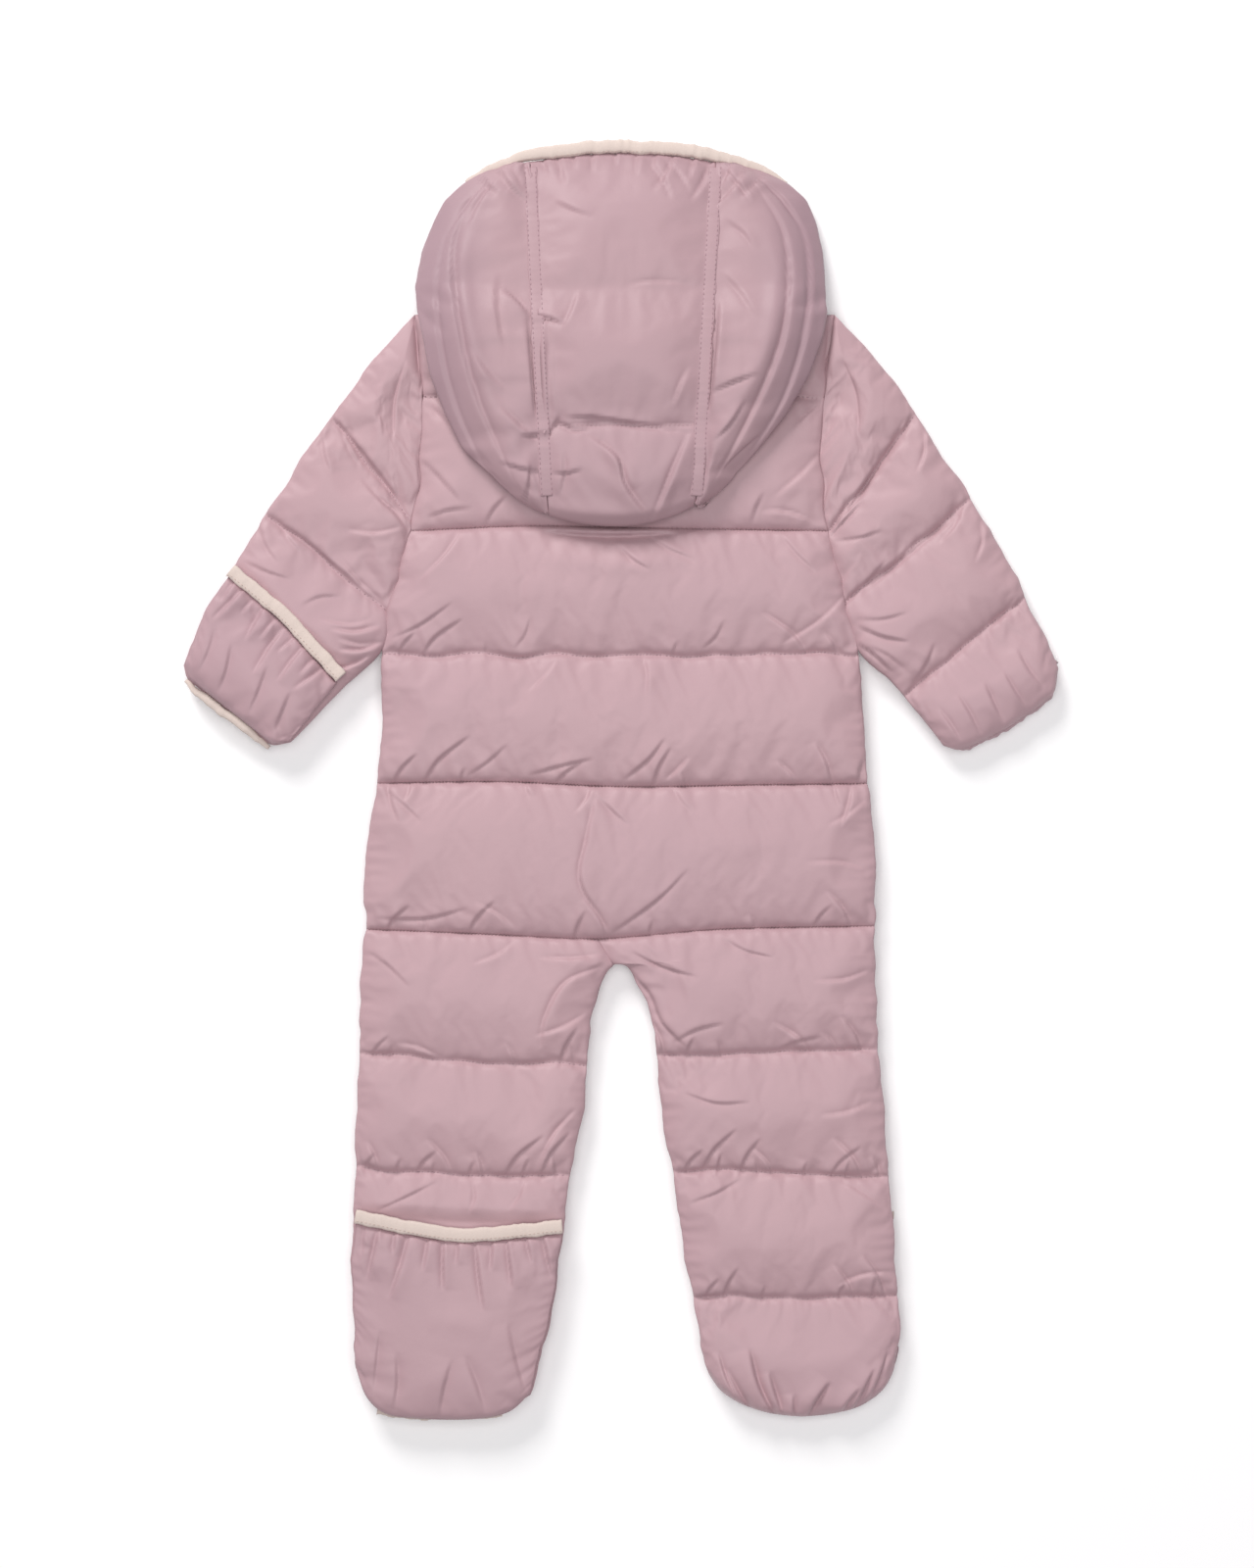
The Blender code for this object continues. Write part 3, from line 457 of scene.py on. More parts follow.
seat_folds = [
    (-1.8, 1.5, (-16, -6, -22, -34, -26, -62, -8, -92)),
    (-1.4, 1.3, (-18, -8, -6, -20, 4, -28), (-152, -84, -120, -88, -94, -78)),
    (-1.4, 1.4, (-8, -94, 26, -72, 40, -54)), (-1.3, 1.2, (-144, -6, -132, -16, -122, -26)),
    (-1.2, 1.2, (148, -54, 134, -48, 112, -50)), (-1.1, 1.2, (148, -12, 138, -22, 124, -28)),
    (-1, 1.2, (-66, -90, -76, -80, -90, -74)), (0.9, 9, (40, -34, 70, -44, 104, -36)),
    (-0.9, 1, (30, -4, 34, -12, 42, -20)),
]
seat_folds += gathered(WAIST, 1, [
    (2, 24, -2.2, 0.3), (7, 12, -1.7, -0.4), (30, 9, -1.3, 0.5), (44, 18, -1.6, -0.6), (93, 14, -1.7, 0.3),
    (97, 26, -2.2, -0.3),
])
seat_folds += gathered(HIP, -1, [
    (4, 16, -2, 0.9), (12, 9, -1.5, -0.3), (20, 21, -2, 0.8), (41, 18, -1.9, 0.4), (48, 26, -2.1, -0.5),
    (56, 10, -1.5, 0.3), (77, 9, -1.4, -0.4), (88, 14, -1.8, 0.9), (96, 22, -2.1, -0.7),
])
quilted("seat_pad", shell, "back_seat", SIDE_LEFT, SIDE_RIGHT, [WAIST, HIP], BACK, BACK_CREST,
        folds=seat_folds, bulge=1.2)
left_folds = [
    (-1.8, 1.5, (-14, -114, -36, -124, -48, -146, -50, -164)),
    (-1.6, 1.4, (-12, -106, -30, -110, -52, -108)), (-1.4, 1.3, (-22, -142, -36, -152, -54, -156)),
    (-1.3, 1.2, (-66, -98, -76, -108, -92, -112)), (-1.2, 1.2, (-156, -104, -142, -112, -130, -126)),
    (-1.1, 1.2, (-110, -170, -122, -162, -138, -160), (-92, -244, -88, -254, -94, -264),
     (-60, -244, -62, -254, -70, -262)), (-1.4, 1.4, (-28, -200, -44, -214, -52, -234)),
    (-1.2, 1.3, (-150, -262, -132, -254, -112, -244)),
]
left_folds += gathered(KNEE_LEFT, -1, [
    (5, 13, -1.6, 0.8), (13, 8, -1.3, 0.2), (70, 14, -1.6, -0.5), (88, 24, -2.1, 0.5), (95, 12, -1.7, -0.2),
])
left_folds += gathered(SHIN_LEFT, -1, [
    (4, 10, -1.7, 0.6), (11, 17, -2, -0.5), (19, 8, -1.5, 0.3), (28, 14, -1.8, 0.9), (36, 7, -1.3, 0.1),
    (46, 21, -2, -0.8), (53, 9, -1.4, 0.4), (60, 14, -1.9, -0.3), (69, 25, -2.1, 1), (78, 11, -1.7, 0.4),
    (86, 27, -2.3, 0.7), (94, 13, -1.8, -0.2),
])
quilted("left_leg_pad", shell, "back_leg_left", LEG_OUT_LEFT, LEG_IN_LEFT,
        [HIP[:3], KNEE_LEFT, SHIN_LEFT, ANKLE_LEFT], BACK, BACK_CREST, folds=left_folds, bulge=1.0,
        pressed=((-163, -266), (-37, -272), 4.8))
right_folds = [
    (-2.2, 1.6, (0, -112, 16, -130, 24, -148, 40, -164)), (-1.7, 1.4, (4, -104, 24, -116, 46, -120)),
    (-1.4, 1.3, (30, -160, 44, -150, 62, -148), (36, -190, 56, -200, 78, -196)),
    (-1.3, 1.2, (60, -96, 74, -106, 92, -108)),
    (-1.3, 1.3, (150, -116, 134, -124, 116, -122), (40, -258, 58, -252, 74, -242),
     (164, -300, 148, -298, 130, -308)),
    (-1.2, 1.2, (92, -166, 104, -158, 122, -156), (160, -262, 148, -252, 132, -244)),
    (-1.2, 1.3, (152, -196, 136, -204, 120, -204)), (-4.2, 2, (95, -393, 80, -368, 77, -346)),
    (-3, 1.7, (99, -392, 94, -377, 89, -360)), (-3.8, 1.7, (110, -393, 117, -378, 126, -366)),
    (-2.8, 1.5, (137, -390, 146, -374, 153, -358), (82, -389, 71, -376, 63, -358)),
    (-2.8, 1.4, (129, -392, 136, -380, 144, -370)), (-2.3, 1.4, (149, -380, 157, -364, 161, -348)),
    (-2.3, 1.3, (105, -393, 104, -384, 104, -374)), (-2.2, 1.3, (69, -377, 62, -364, 58, -348)),
]
right_folds += gathered(KNEE_RIGHT, -1, [
    (5, 24, -2.4, -0.4), (14, 11, -1.7, 0.5), (30, 8, -1.3, -0.3), (70, 19, -2, -1.2), (82, 12, -1.7, -0.8),
    (93, 21, -2.1, -0.6),
])
right_folds += gathered(SHIN_RIGHT, -1, [
    (4, 14, -2.1, 0.9), (12, 27, -2.3, 0.8), (20, 12, -1.8, 0.2), (30, 22, -2, 0.6), (39, 9, -1.5, -0.2),
    (47, 16, -1.8, -0.9), (60, 8, -1.4, 0.3), (72, 18, -1.9, 1.1), (80, 10, -1.5, 0.2), (88, 23, -2.2, -0.8),
    (96, 12, -1.8, -0.4),
])
right_folds += gathered(FOOT_RIGHT, -1, [
    (5, 12, -1.8, 0.8), (14, 19, -1.9, 0.5), (33, 8, -1.3, 0.3), (70, 10, -1.5, 0.6), (79, 21, -2.1, -0.6),
    (87, 12, -1.7, 0.2), (94, 26, -2.3, -0.5),
])
quilted("right_leg_pad", shell, "back_leg_right", LEG_IN_RIGHT, LEG_OUT_RIGHT,
        [HIP[2:], KNEE_RIGHT, SHIN_RIGHT, FOOT_RIGHT, ANKLE_RIGHT[::-1]], BACK, BACK_CREST, folds=right_folds,
        bulge=1.0)

# ---------------------------------------------------------------- front of the suit
# Two fronts lie face down under the back, from the shoulders to the ankles, with the zip between them. They
# are cut and quilted like the back, and the weight of the suit presses them flat on the surface.
FRONT = 10.8
ZIP_EDGE = [(60, 284), (48, 262), (28, 245), (10.8, 238), (10.8, 77), (10.8, -2), (10.8, -84)]
FRONT_IN_LEFT = [*((-x, y) for x, y in ZIP_EDGE), (0, -88), (0, -110.5), (-6.6, -112.6), LEG_IN_LEFT[3],
                 *LEG_IN_LEFT[5:]]
FRONT_IN_RIGHT = [*ZIP_EDGE, (1, -88), (1, -111.5), (5, -114.6), LEG_IN_RIGHT[6], *LEG_IN_RIGHT[8:]]
PLAIN = {"facing": -1, "cell": 4.0, "extra": 0.04}
OUT_LEFT = ARMHOLE_LEFT + SIDE_LEFT[3:] + LEG_OUT_LEFT[1:]
OUT_RIGHT = ARMHOLE_RIGHT + SIDE_RIGHT[3:] + LEG_OUT_RIGHT[1:]
quilted("left_front_pad", shell, "front_left", OUT_LEFT, FRONT_IN_LEFT,
        [[(-127, 284), (-60, 284)], [(-124, 190), (-10.8, 190)], [(-147, 77), (-10.8, 77)],
         [(-150, -2), (-10.8, -2)], [(-158, -91), (0, -96)], [(-161, -167), (-23, -172)],
         [(-163, -236), (-32, -240)], ANKLE_LEFT],
        FRONT, 10.5, **PLAIN)
quilted("right_front_pad", shell, "front_right", FRONT_IN_RIGHT, OUT_RIGHT,
        [[(60, 284), (129, 284)], [(10.8, 190), (121, 190)], [(10.8, 77), (143, 77)], [(10.8, -2), (149, -2)],
         [(1, -96), (152.5, -89)], [(22, -168), (156, -164)], [(31, -240), (161, -238)], ANKLE_RIGHT[::-1]],
        FRONT, 10.5, **PLAIN, pressed=((44, -266), (166, -266), 6.4))

# ---------------------------------------------------------------- sleeves
# Each sleeve is a back and a front half, sewn into the armhole and to each other, with slanting rows of
# quilting.
INNER_LEFT = ARMHOLE_LEFT + [(-169, 58), (-203, 23)]
INNER_RIGHT = ARMHOLE_RIGHT + [(166, 58), (196, 21)]
OUTER_LEFT = [(-127, 284), (-157, 250), (-200, 190), (-230, 142), (-259, 94), (-268, 70)]
OUTER_RIGHT = [(129, 284), (160, 250), (200, 190), (230, 142), (254, 94), (266, 68)]
CUFF_LEFT = [(-268, 70), (-265, 61), (-216, 22), (-203, 23)]
CUFF_RIGHT = [(196, 21), (207, 18.5), (235, 32), (262, 51.5), (266, 68)]
LEFT_ROWS = [[(-127, 284), (-126.6, 281)], [(-178, 222), (-128, 158)], [(-218, 163), (-142, 102)], CUFF_LEFT]
RIGHT_ROWS = [[(128.6, 281), (129, 284)], [(126, 152), (176, 221)], [(134, 106), (214, 172)],
              [(173, 52), (246, 112)], CUFF_RIGHT]
left_sleeve_folds = [
    (-2.4, 1.2, (-175, 219, -156, 197, -136, 170), (-148, 94, -162, 88, -178, 92),
     (-130, 150, -138, 164, -150, 172)), (-2, 1.2, (-214, 160, -190, 143, -160, 118)),
    (-2.8, 1.3, (-146, 84, -158, 77, -173, 79)), (-2.2, 1.2, (-154, 76, -166, 68, -180, 66)),
    (-3, 1.3, (-127, 286, -125.5, 266, -124, 246)), (-1.4, 1.4, (-132, 256, -142, 234, -140, 206)),
    (-1.4, 1.3, (-174, 222, -170, 204, -160, 190), (-134, 160, -146, 166, -160, 184),
     (-134, 154, -150, 148, -168, 152), (-146, 108, -160, 118, -172, 134)),
    (-1.2, 1.2, (-184, 214, -184, 200, -178, 186), (-222, 156, -220, 142, -210, 132),
     (-196, 106, -186, 114, -172, 112)),
    (-1.3, 1.2, (-212, 162, -206, 148, -196, 138), (-152, 98, -166, 92, -184, 98),
     (-232, 134, -218, 126, -202, 122)), (-1.3, 1.3, (-148, 84, -160, 80, -174, 86)),
]
right_sleeve_folds = [
    (-2.4, 1.2, (132, 158, 150, 184, 172, 216), (142, 94, 156, 86, 174, 84), (126, 148, 136, 160, 146, 170)),
    (-2.2, 1.2, (140, 110, 172, 136, 208, 166)), (-2.8, 1.3, (142, 84, 152, 78, 164, 66)),
    (-3, 1.3, (129, 286, 126, 266, 123.6, 246)), (-1.4, 1.4, (134, 256, 146, 236, 144, 210)),
    (-1.4, 1.3, (172, 220, 166, 204, 154, 192), (132, 162, 142, 168, 152, 184),
     (184, 214, 186, 198, 178, 186), (138, 112, 150, 120, 160, 134), (142, 98, 158, 96, 174, 102)),
    (-1.3, 1.2, (128, 146, 144, 146, 158, 152), (208, 168, 204, 154, 192, 144),
     (240, 112, 234, 100, 222, 92)), (-1.2, 1.2, (218, 160, 222, 144, 214, 132)),
    (-1.3, 1.3, (176, 58, 186, 70, 190, 84), (148, 82, 160, 78, 172, 68)),
    (-1.8, 1.3, (256, 56, 246, 66, 240, 80)), (-1.7, 1.2, (246, 44, 238, 54, 232, 66)),
    (-1.7, 1.3, (232, 34, 226, 46, 220, 60)), (-1.6, 1.2, (218, 27, 212, 40, 204, 52)),
    (-1.4, 1.2, (206, 24, 200, 34, 192, 44)),
]
quilted("left_sleeve_pad", shell, "sleeve_left_back", OUTER_LEFT, INNER_LEFT, LEFT_ROWS, BACK, BACK_CREST,
        folds=left_sleeve_folds, pressed=((-239, 127), (-172, 62), 4.8))
quilted("right_sleeve_pad", shell, "sleeve_right_back", INNER_RIGHT, OUTER_RIGHT, RIGHT_ROWS, BACK,
        BACK_CREST, folds=right_sleeve_folds)
quilted("left_sleeve_front_pad", shell, "sleeve_left_front", OUTER_LEFT, INNER_LEFT, LEFT_ROWS, FRONT, 10.4,
        **PLAIN)
quilted("right_sleeve_front_pad", shell, "sleeve_right_front", INNER_RIGHT, OUTER_RIGHT, RIGHT_ROWS, FRONT,
        10.4, **PLAIN, pressed=((180, 63), (238, 119), 6.4))

# ---------------------------------------------------------------- hand and foot covers
# The left mitten and foot are folded back and lie on the sleeve and leg, gathered below their elastic
# mouths. The right ones are turned over the hand and foot and go under the front.
cover_cloth = nylon("cover nylon", (0.485, 0.318, 0.342), (0.45, 0.295, 0.33))
COVER, COVER_CREST = 17.2, 7.6
MITTEN_MOUTH = [(-239, 127), (-206, 99), (-172, 62)]
FOOT_MOUTH = [(-163, -266), (-100, -277), (-37, -272)]
mitten_gathers = gathered(MITTEN_MOUTH, 1, [
    (6, 18, -1.3, 0.1), (14, 30, -1.5, -0.1), (23, 16, -1.1, 0), (31, 26, -1.5, 0.2), (42, 20, -1.2, 0.1),
    (50, 38, -1.5, 0.2), (60, 18, -1.3, 0), (68, 30, -1.5, 0.2), (79, 17, -1.2, 0.1), (88, 26, -1.4, -0.1),
], 1.5)
mitten_folds = mitten_gathers + [
    (-1.4, 2.3, (-246, 54, -240, 66, -238, 84), (-212, 30, -208, 40, -202, 54)),
    (-1.3, 2.3, (-228, 40, -222, 52, -216, 70)), (-1.1, 2.3, (-258, 66, -252, 76, -248, 92)),
]
quilted("left_mitten_pad", cover_cloth, "mitten_left",
        [(-241, 124.5), (-257, 96), (-266.5, 70)], [(-174, 59), (-203, 24)],
        [[(-241, 124.5), (-208.3, 96), (-174.2, 59)], [(-266.5, 70), (-263, 61), (-214, 22.5), (-203, 24)]],
        COVER, COVER_CREST, folds=mitten_folds, slot="cover_cloth")
foot_gathers = gathered(FOOT_MOUTH, 1, [
    (5, 22, -1.3, 0.1), (12, 36, -1.5, 0), (20, 18, -1.2, 0.1), (27, 44, -1.5, -0.1), (36, 24, -1.3, 0),
    (43, 34, -1.6, 0.1), (50, 18, -1.1, 0), (58, 46, -1.5, 0.1), (66, 22, -1.3, -0.1), (73, 34, -1.5, 0),
    (82, 20, -1.2, 0.1), (90, 30, -1.4, 0.1),
], 1.6)
foot_folds = foot_gathers + [
    (-1.4, 2.9, (-140, -384, -136, -368, -138, -348), (-112, -388, -110, -370, -104, -352),
     (-84, -385, -88, -368, -96, -350)), (-1.1, 2.9, (-152, -372, -150, -352, -148, -334)),
    (-1.2, 2.9, (-60, -372, -66, -352, -70, -330)), (1, 8, (-120, -330, -100, -326, -80, -334)),
]
quilted("left_foot_pad", cover_cloth, "foot_left",
        [(-163, -269), (-164.5, -300), (-162.5, -357)], [(-37, -275), (-43, -316), (-57, -374)],
        [[(-163, -269.5), (-100, -280.5), (-37.3, -275.5)],
         [(-162.5, -357), (-157, -373.5), (-149, -383), (-138, -387.5), (-110, -389.5), (-84, -388.5),
          (-68, -384), (-57, -374)]],
        COVER, COVER_CREST, folds=foot_folds, slot="cover_cloth")

shells = []


def wrapped(name, material, node, points, pinned, thickness, facing=1, slot="hood_cloth", pressure=2.4,
            **more):
    """A padded wall that bends round: rows of points in millimetres, from its seam to its other edge.

    It may have folds and lines of stitching."""
    item = cloth_grid(name, points, pinned, facing, material)
    belongs(item, slot, node)
    if pressure:
        cloth(item, pressure)
    shells.append((item, points[::-1].reshape(-1, 3), thickness, more))


def turned(name, node, ends, mouths):
    """A cover turned round the end of the limb and under it, gathered at the end."""
    ends, mouths = run(ends, 60), run(mouths, 60)
    rows = []
    for k, (end, mouth) in enumerate(zip(ends, mouths)):
        way = (mouth - end) / np.linalg.norm(mouth - end)
        # the two corners are tucked in, and the end is pleated all along
        tuck = 5.0 * max(0.0, abs(2 * k / 59 - 1) - 0.7) / 0.3
        pleat = 1.0 * wave(k * 3.6, 0, 8.0) + 0.5 * wave(k * 3.6, 4, 20.0) - tuck
        profile = [(4.5, 10.6), (1.6, 12.2), (-0.4 - pleat, 10.6), (-1.0 - pleat, 7.5), (-pleat, 4.0),
                   (4.0, 1.0), (12.0, 0.5), (np.linalg.norm(mouth - end), 0.5)]
        rows.append([(*(end + way * along), z) for along, z in run(profile, 28)])
    points = np.array(rows)
    pinned = np.ones(points.shape[:2], bool)
    wrapped(name, cover_cloth, node, points, pinned, 3.2, -1, "cover_cloth", pressure=0)


turned("right_mitten_pad", "mitten_right",
       [(265, 70), (262, 51.5), (235, 31.5), (206, 18), (196, 25)],
       [(238, 117), (221.5, 103), (205, 86), (189, 71), (178, 60)])
turned("right_foot_pad", "foot_right",
       [(165.5, -350), (164, -362), (157.5, -373), (144.5, -382), (128, -386.5), (110, -388), (90, -386),
        (72, -380), (60, -372), (54.5, -362)],
       [(162, -270), (150, -269), (128, -268), (100, -268), (72, -269), (46, -271)])

# ---------------------------------------------------------------- hood
# Three puffed panels: a quilted middle and two sides that roll round under to the face opening. The hood
# lies back over the yoke, folded at the neck, and slopes down to its brim.
# The hood's nylon is painted a little darker than the suit's and fades darker still towards its outer sides:
# both are painted shade on the same cloth.
hood_cloth = nylon("hood nylon", (0.46, 0.302, 0.325), (0.43, 0.282, 0.315), 0.5, (0.375, 0.247, 0.28))
HOOD = np.array([
    # y, left, right, top, under, reach, outermost
    (161, -47, 44.8, 26.0, 22.0, 49.5, 23.5),
    (166, -58, 45.6, 28.5, 22.0, 50, 24.2),
    (171, -65, 54, 30.5, 22.0, 51, 25),
    (182, -78, 67, 32.5, 21.6, 51, 25.5),
    (200, -97, 82, 34.5, 21.5, 51, 26),
    (222, -108, 99, 35.5, 21.5, 52, 26),
    (245, -117, 113, 36.0, 21.5, 53, 26),
    (268, -122, 122, 34.8, 21.6, 55, 24.5),
    (283, -126, 125, 32.5, 17.5, 56, 22),
    (300, -127, 124, 29.0, 0.8, 50, 17.5),
    (322, -123, 122, 24.5, 0.4, 60, 12.5),
    (340, -116, 118, 20.5, 0.4, 68, 9.5),
    (354, -109, 112, 17.2, 0.4, 74, 7.8),
    (365, -97, 100, 14.5, 0.4, 74, 6.8),
    (371.5, -86, 88, 12.2, 1.6, 66, 6.5),
    (377, -73, 74, 10.2, 2.6, 57, 6.0),
])


def hood_at(y, column):
    """One of the hood's measures at a height on the suit."""
    return np.interp(y, HOOD[:, 0], HOOD[:, column])


def seam_x(y, side):
    """Where the left (-1) or right (1) seam of the hood runs."""
    return -46.0 - 0.053 * (y - 171) if side < 0 else 44.8 + 0.058 * (y - 171)


stations = [(383, 8), (376, 10.2), (360, 14.6), (342, 19.2), (322, 23.8), (300, 28.2), (283, 31.5),
            (268, 33.6), (245, 34.8), (222, 34.5), (200, 33.6), (182, 31.8), (171, 29.8), (162, 28.4),
            (156.5, 25.8), (156.5, 23.2), (161, 21.9), (172, 21.7), (205, 21.7), (240, 21.7), (268, 21.7)]
path = run(stations, 118)
outward = headings_of(path)[:, ::-1] * (1, -1)
under = (path[:, 1] < 23.0) & (path[:, 0] < 280)
quilt_gap = np.min([np.abs(path[:, 0] - y) + past for y, past in ((382, 0), (298, 7), (216, 0))], axis=0)
quilt_rows = [int(np.argmin(np.abs(path[:, 0] - y) + 99 * under)) for y in (298, 216)]
fullness = swell(quilt_gap, 26) * np.where(under, 0, 1) * np.where(path[:, 0] < 162, 0.5, 1)
columns = 37
share = np.linspace(0, 1, columns)
rows = []
for (y, z), (ny, nz), full in zip(path, outward, fullness):
    x = seam_x(y, -1) + 0.2 + (seam_x(y, 1) - seam_x(y, -1) - 0.4) * share
    edge = np.clip(np.minimum(x - x[0], x[-1] - x) - 2.5, 0, None)
    puff = full * (1.6 + 3.6 * swell(edge, 40))
    # the brim reaches furthest at its middle, and the fold at the neck hangs lowest near it
    brim_bow = 5.32 * (x / 55) ** 2 * np.clip((y - 340) / 42, 0, 1)
    neck_rise = np.where(x < -4, 6.5, 11.5) * ((x + 4) / 50) ** 2 * np.clip((184 - y) / 27, 0, 1)
    bow = brim_bow - neck_rise
    rows.append(np.column_stack([x, y - bow + ny * puff, z + nz * puff]))
points = np.array(rows)
pinned = np.zeros(points.shape[:2], bool)
pinned[[0, -1, *quilt_rows]] = True
pinned[:, [0, 1, -2, -1]] = True
pinned[under & (path[:, 0] > 172)] = True
BRIM_EDGE = [(-92, 364), (-78, 371.5), (-60, 377), (-32, 381), (0, 382.5), (34, 381), (60, 377), (80, 371),
             (94, 363)]
brim_gathers = gathered(BRIM_EDGE, 1, [
    (3, 16, -1.5, 0.3), (9, 26, -1.8, 0.4), (14, 14, -1.3, 0.2), (18, 22, -1.6, 0.1), (24, 12, -1.2, 0.2),
    (29, 18, -1.3, 0.1), (34, 9, -1, 0), (40, 12, -1.1, -0.1), (47, 8, -0.9, 0.1), (54, 14, -1.2, 0),
    (60, 9, -1, -0.2), (66, 24, -1.5, -0.5), (72, 15, -1.3, -0.1), (78, 28, -1.7, -0.3),
    (84, 17, -1.4, -0.2), (89, 30, -1.8, -0.4), (95, 20, -1.5, -0.3),
], 1.3)
centre_folds = brim_gathers + [
    (2.4, 3.2, (-47, 280, -46.5, 262, -44.5, 240, -42, 218)),
    (-2.8, 1.1, (-44, 216, -45, 236, -46, 258, -46, 280)), (-3.2, 1.1, (-58, 280, -48, 281, -36, 276)),
    (-3, 1.1, (-60, 209, -50, 207, -42, 214, -38, 221), (-40, 217, -32, 211, -20, 212)),
    (-2.4, 1, (-36, 220, -16, 219, 10, 215, 46, 210)), (-3, 1.4, (18, 156, 2, 178, -4, 196, -22, 210)),
    (-2.6, 1.3, (40, 211, 30, 188, 18, 158)), (1.8, 5, (-14, 204, 2, 190, 8, 176)),
    (-1.6, 1.1, (-44, 186, -34, 184, -24, 188), (-38, 172, -34, 186, -36, 200), (16, 378, 26, 366, 30, 352)),
    (-1.4, 1.1, (-28, 296, -31, 284, -38, 272), (40, 250, 34, 240, 30, 226), (24, 380, 36, 370, 42, 356)),
    (-1.5, 1.1, (-42, 352, -30, 345, -18, 342)), (-1.3, 1.2, (40, 300, 20, 304, 2, 300)),
]
wrapped("hood_middle_pad", hood_cloth, "hood_centre", points, pinned, 3.6, folds=centre_folds,
        stitching=[points[quilt_rows[1]][:, :2]])
side_folds = {
    -1: [
        (-2.4, 1.6, (-66, 180, -88, 231, -99, 275, -103, 322, -92, 360)),
        (1.6, 5, (-88, 352, -97, 316, -93, 275, -82, 236, -64, 194)),
        (-1.8, 1.4, (-84, 188, -101, 226, -110, 262, -113, 300, -108, 334)),
        (-3.6, 1.2, (-53, 220, -54.5, 240, -56.5, 262, -58, 282)),
        (-3.2, 1.2, (-55, 280, -63, 291, -73, 298)), (-3, 1.1, (-62, 209, -54, 208, -46, 210)),
        (-2, 1.1, (-52, 206, -62, 214, -74, 226)),
        (-1.8, 1.2, (-75, 192, -62, 188, -48, 186), (-60, 168, -56, 180, -56, 192)),
        (-1.6, 1.1, (-72, 262, -78, 284, -76, 308)), (-1.5, 1.1, (-70, 236, -84, 246, -92, 262)),
        (-1.7, 1.2, (-76, 368, -88, 354, -95, 336)), (-1.6, 1.2, (-84, 364, -98, 350, -108, 326)),
    ],
    1: [
        (-2.6, 1.6, (78, 366, 96, 338, 101, 308, 96, 266, 78, 222, 56, 182)),
        (1.7, 5, (52, 196, 70, 226, 88, 268, 93, 308, 86, 340)),
        (-1.9, 1.4, (94, 360, 110, 332, 113, 296, 108, 262, 96, 228, 76, 196)),
        (-4.6, 1.3, (58, 292, 56.4, 266, 54.4, 244, 52, 222)), (-2.4, 1.2, (54, 234, 64, 240, 82, 246)),
        (-1.8, 1.1, (54, 204, 66, 214, 74, 230)), (-1.6, 1.1, (60, 308, 72, 296, 80, 280)),
        (-1.8, 1.2, (62, 373, 70, 364, 78, 352), (82, 368, 98, 356, 108, 338)),
        (-1.5, 1.1, (60, 188, 70, 200, 84, 210)), (-1.4, 1.1, (62, 340, 74, 334, 80, 322)),
    ],
}
side_folds = {side: table + brim_gathers for side, table in side_folds.items()}
for side, column, name, foot in ((-1, 1, "left", 161.5), (1, 2, "right", 166.5)):
    rows = []
    for y in np.linspace(foot, 377, 66):
        seam, edge = abs(seam_x(y, side)) + 0.2, abs(hood_at(y, column))
        top, low, reach, rim = (hood_at(y, k) for k in (3, 4, 5, 6))
        width = edge - seam
        crown = min(4.0, width * 0.1)
        slope = min(27.0, 0.5 * width)
        round_in = min(8.0, 0.4 * width)
        reach = min(reach, edge - 2)
        seam_top = top - 0.9 + 1.6 * swell(min(abs(y - 298), abs(y - 216), 382 - y), 26)
        profile = [
            (seam, seam_top),
            (seam + min(5.0, width * 0.15), 0.4 * seam_top + 0.6 * (top + crown * 0.2)),
            (seam + (width - slope) * 0.55, top + crown * 0.8),
            (edge - slope, top + crown * 0.3),
            (edge - slope * 0.55, rim + (top - rim) * 0.68),
            (edge - slope * 0.16, rim + (top - rim) * 0.26),
            (edge, rim),
            (edge - round_in * 0.3, low + (rim - low) * 0.35),
            (edge - round_in, low),
            (reach, low),
        ]
        rows.append([(side * x, y, z) for x, z in run(profile, 46)])
    points = np.array(rows)
    pinned = np.zeros(points.shape[:2], bool)
    pinned[[0, 1, -1]] = True
    pinned[:, [0, 1, -1]] = True
    pinned[:3] = True
    wrapped("hood_" + name + "_pad", hood_cloth, "hood_side_" + name, points, pinned, 3.4,
            folds=side_folds[side])

# ---------------------------------------------------------------- elastic bindings
# Soft cream elastic, folded over the brim, the face opening, the covers' mouths and the hems. It is ribbed
# across, and it draws the nylon into small gathers.
cream, surface, place = finish_of("cream elastic")
grain = place.noise(1100.0)
grain.blend((0.72, 0.61, 0.55), (0.63, 0.52, 0.47)).feed(surface, "Base Color")
grain.bump(0.4, 0.0003).feed(surface, "Normal")
surface.inputs["Roughness"].default_value = 0.75
surface.inputs["Sheen Weight"].default_value = 0.2


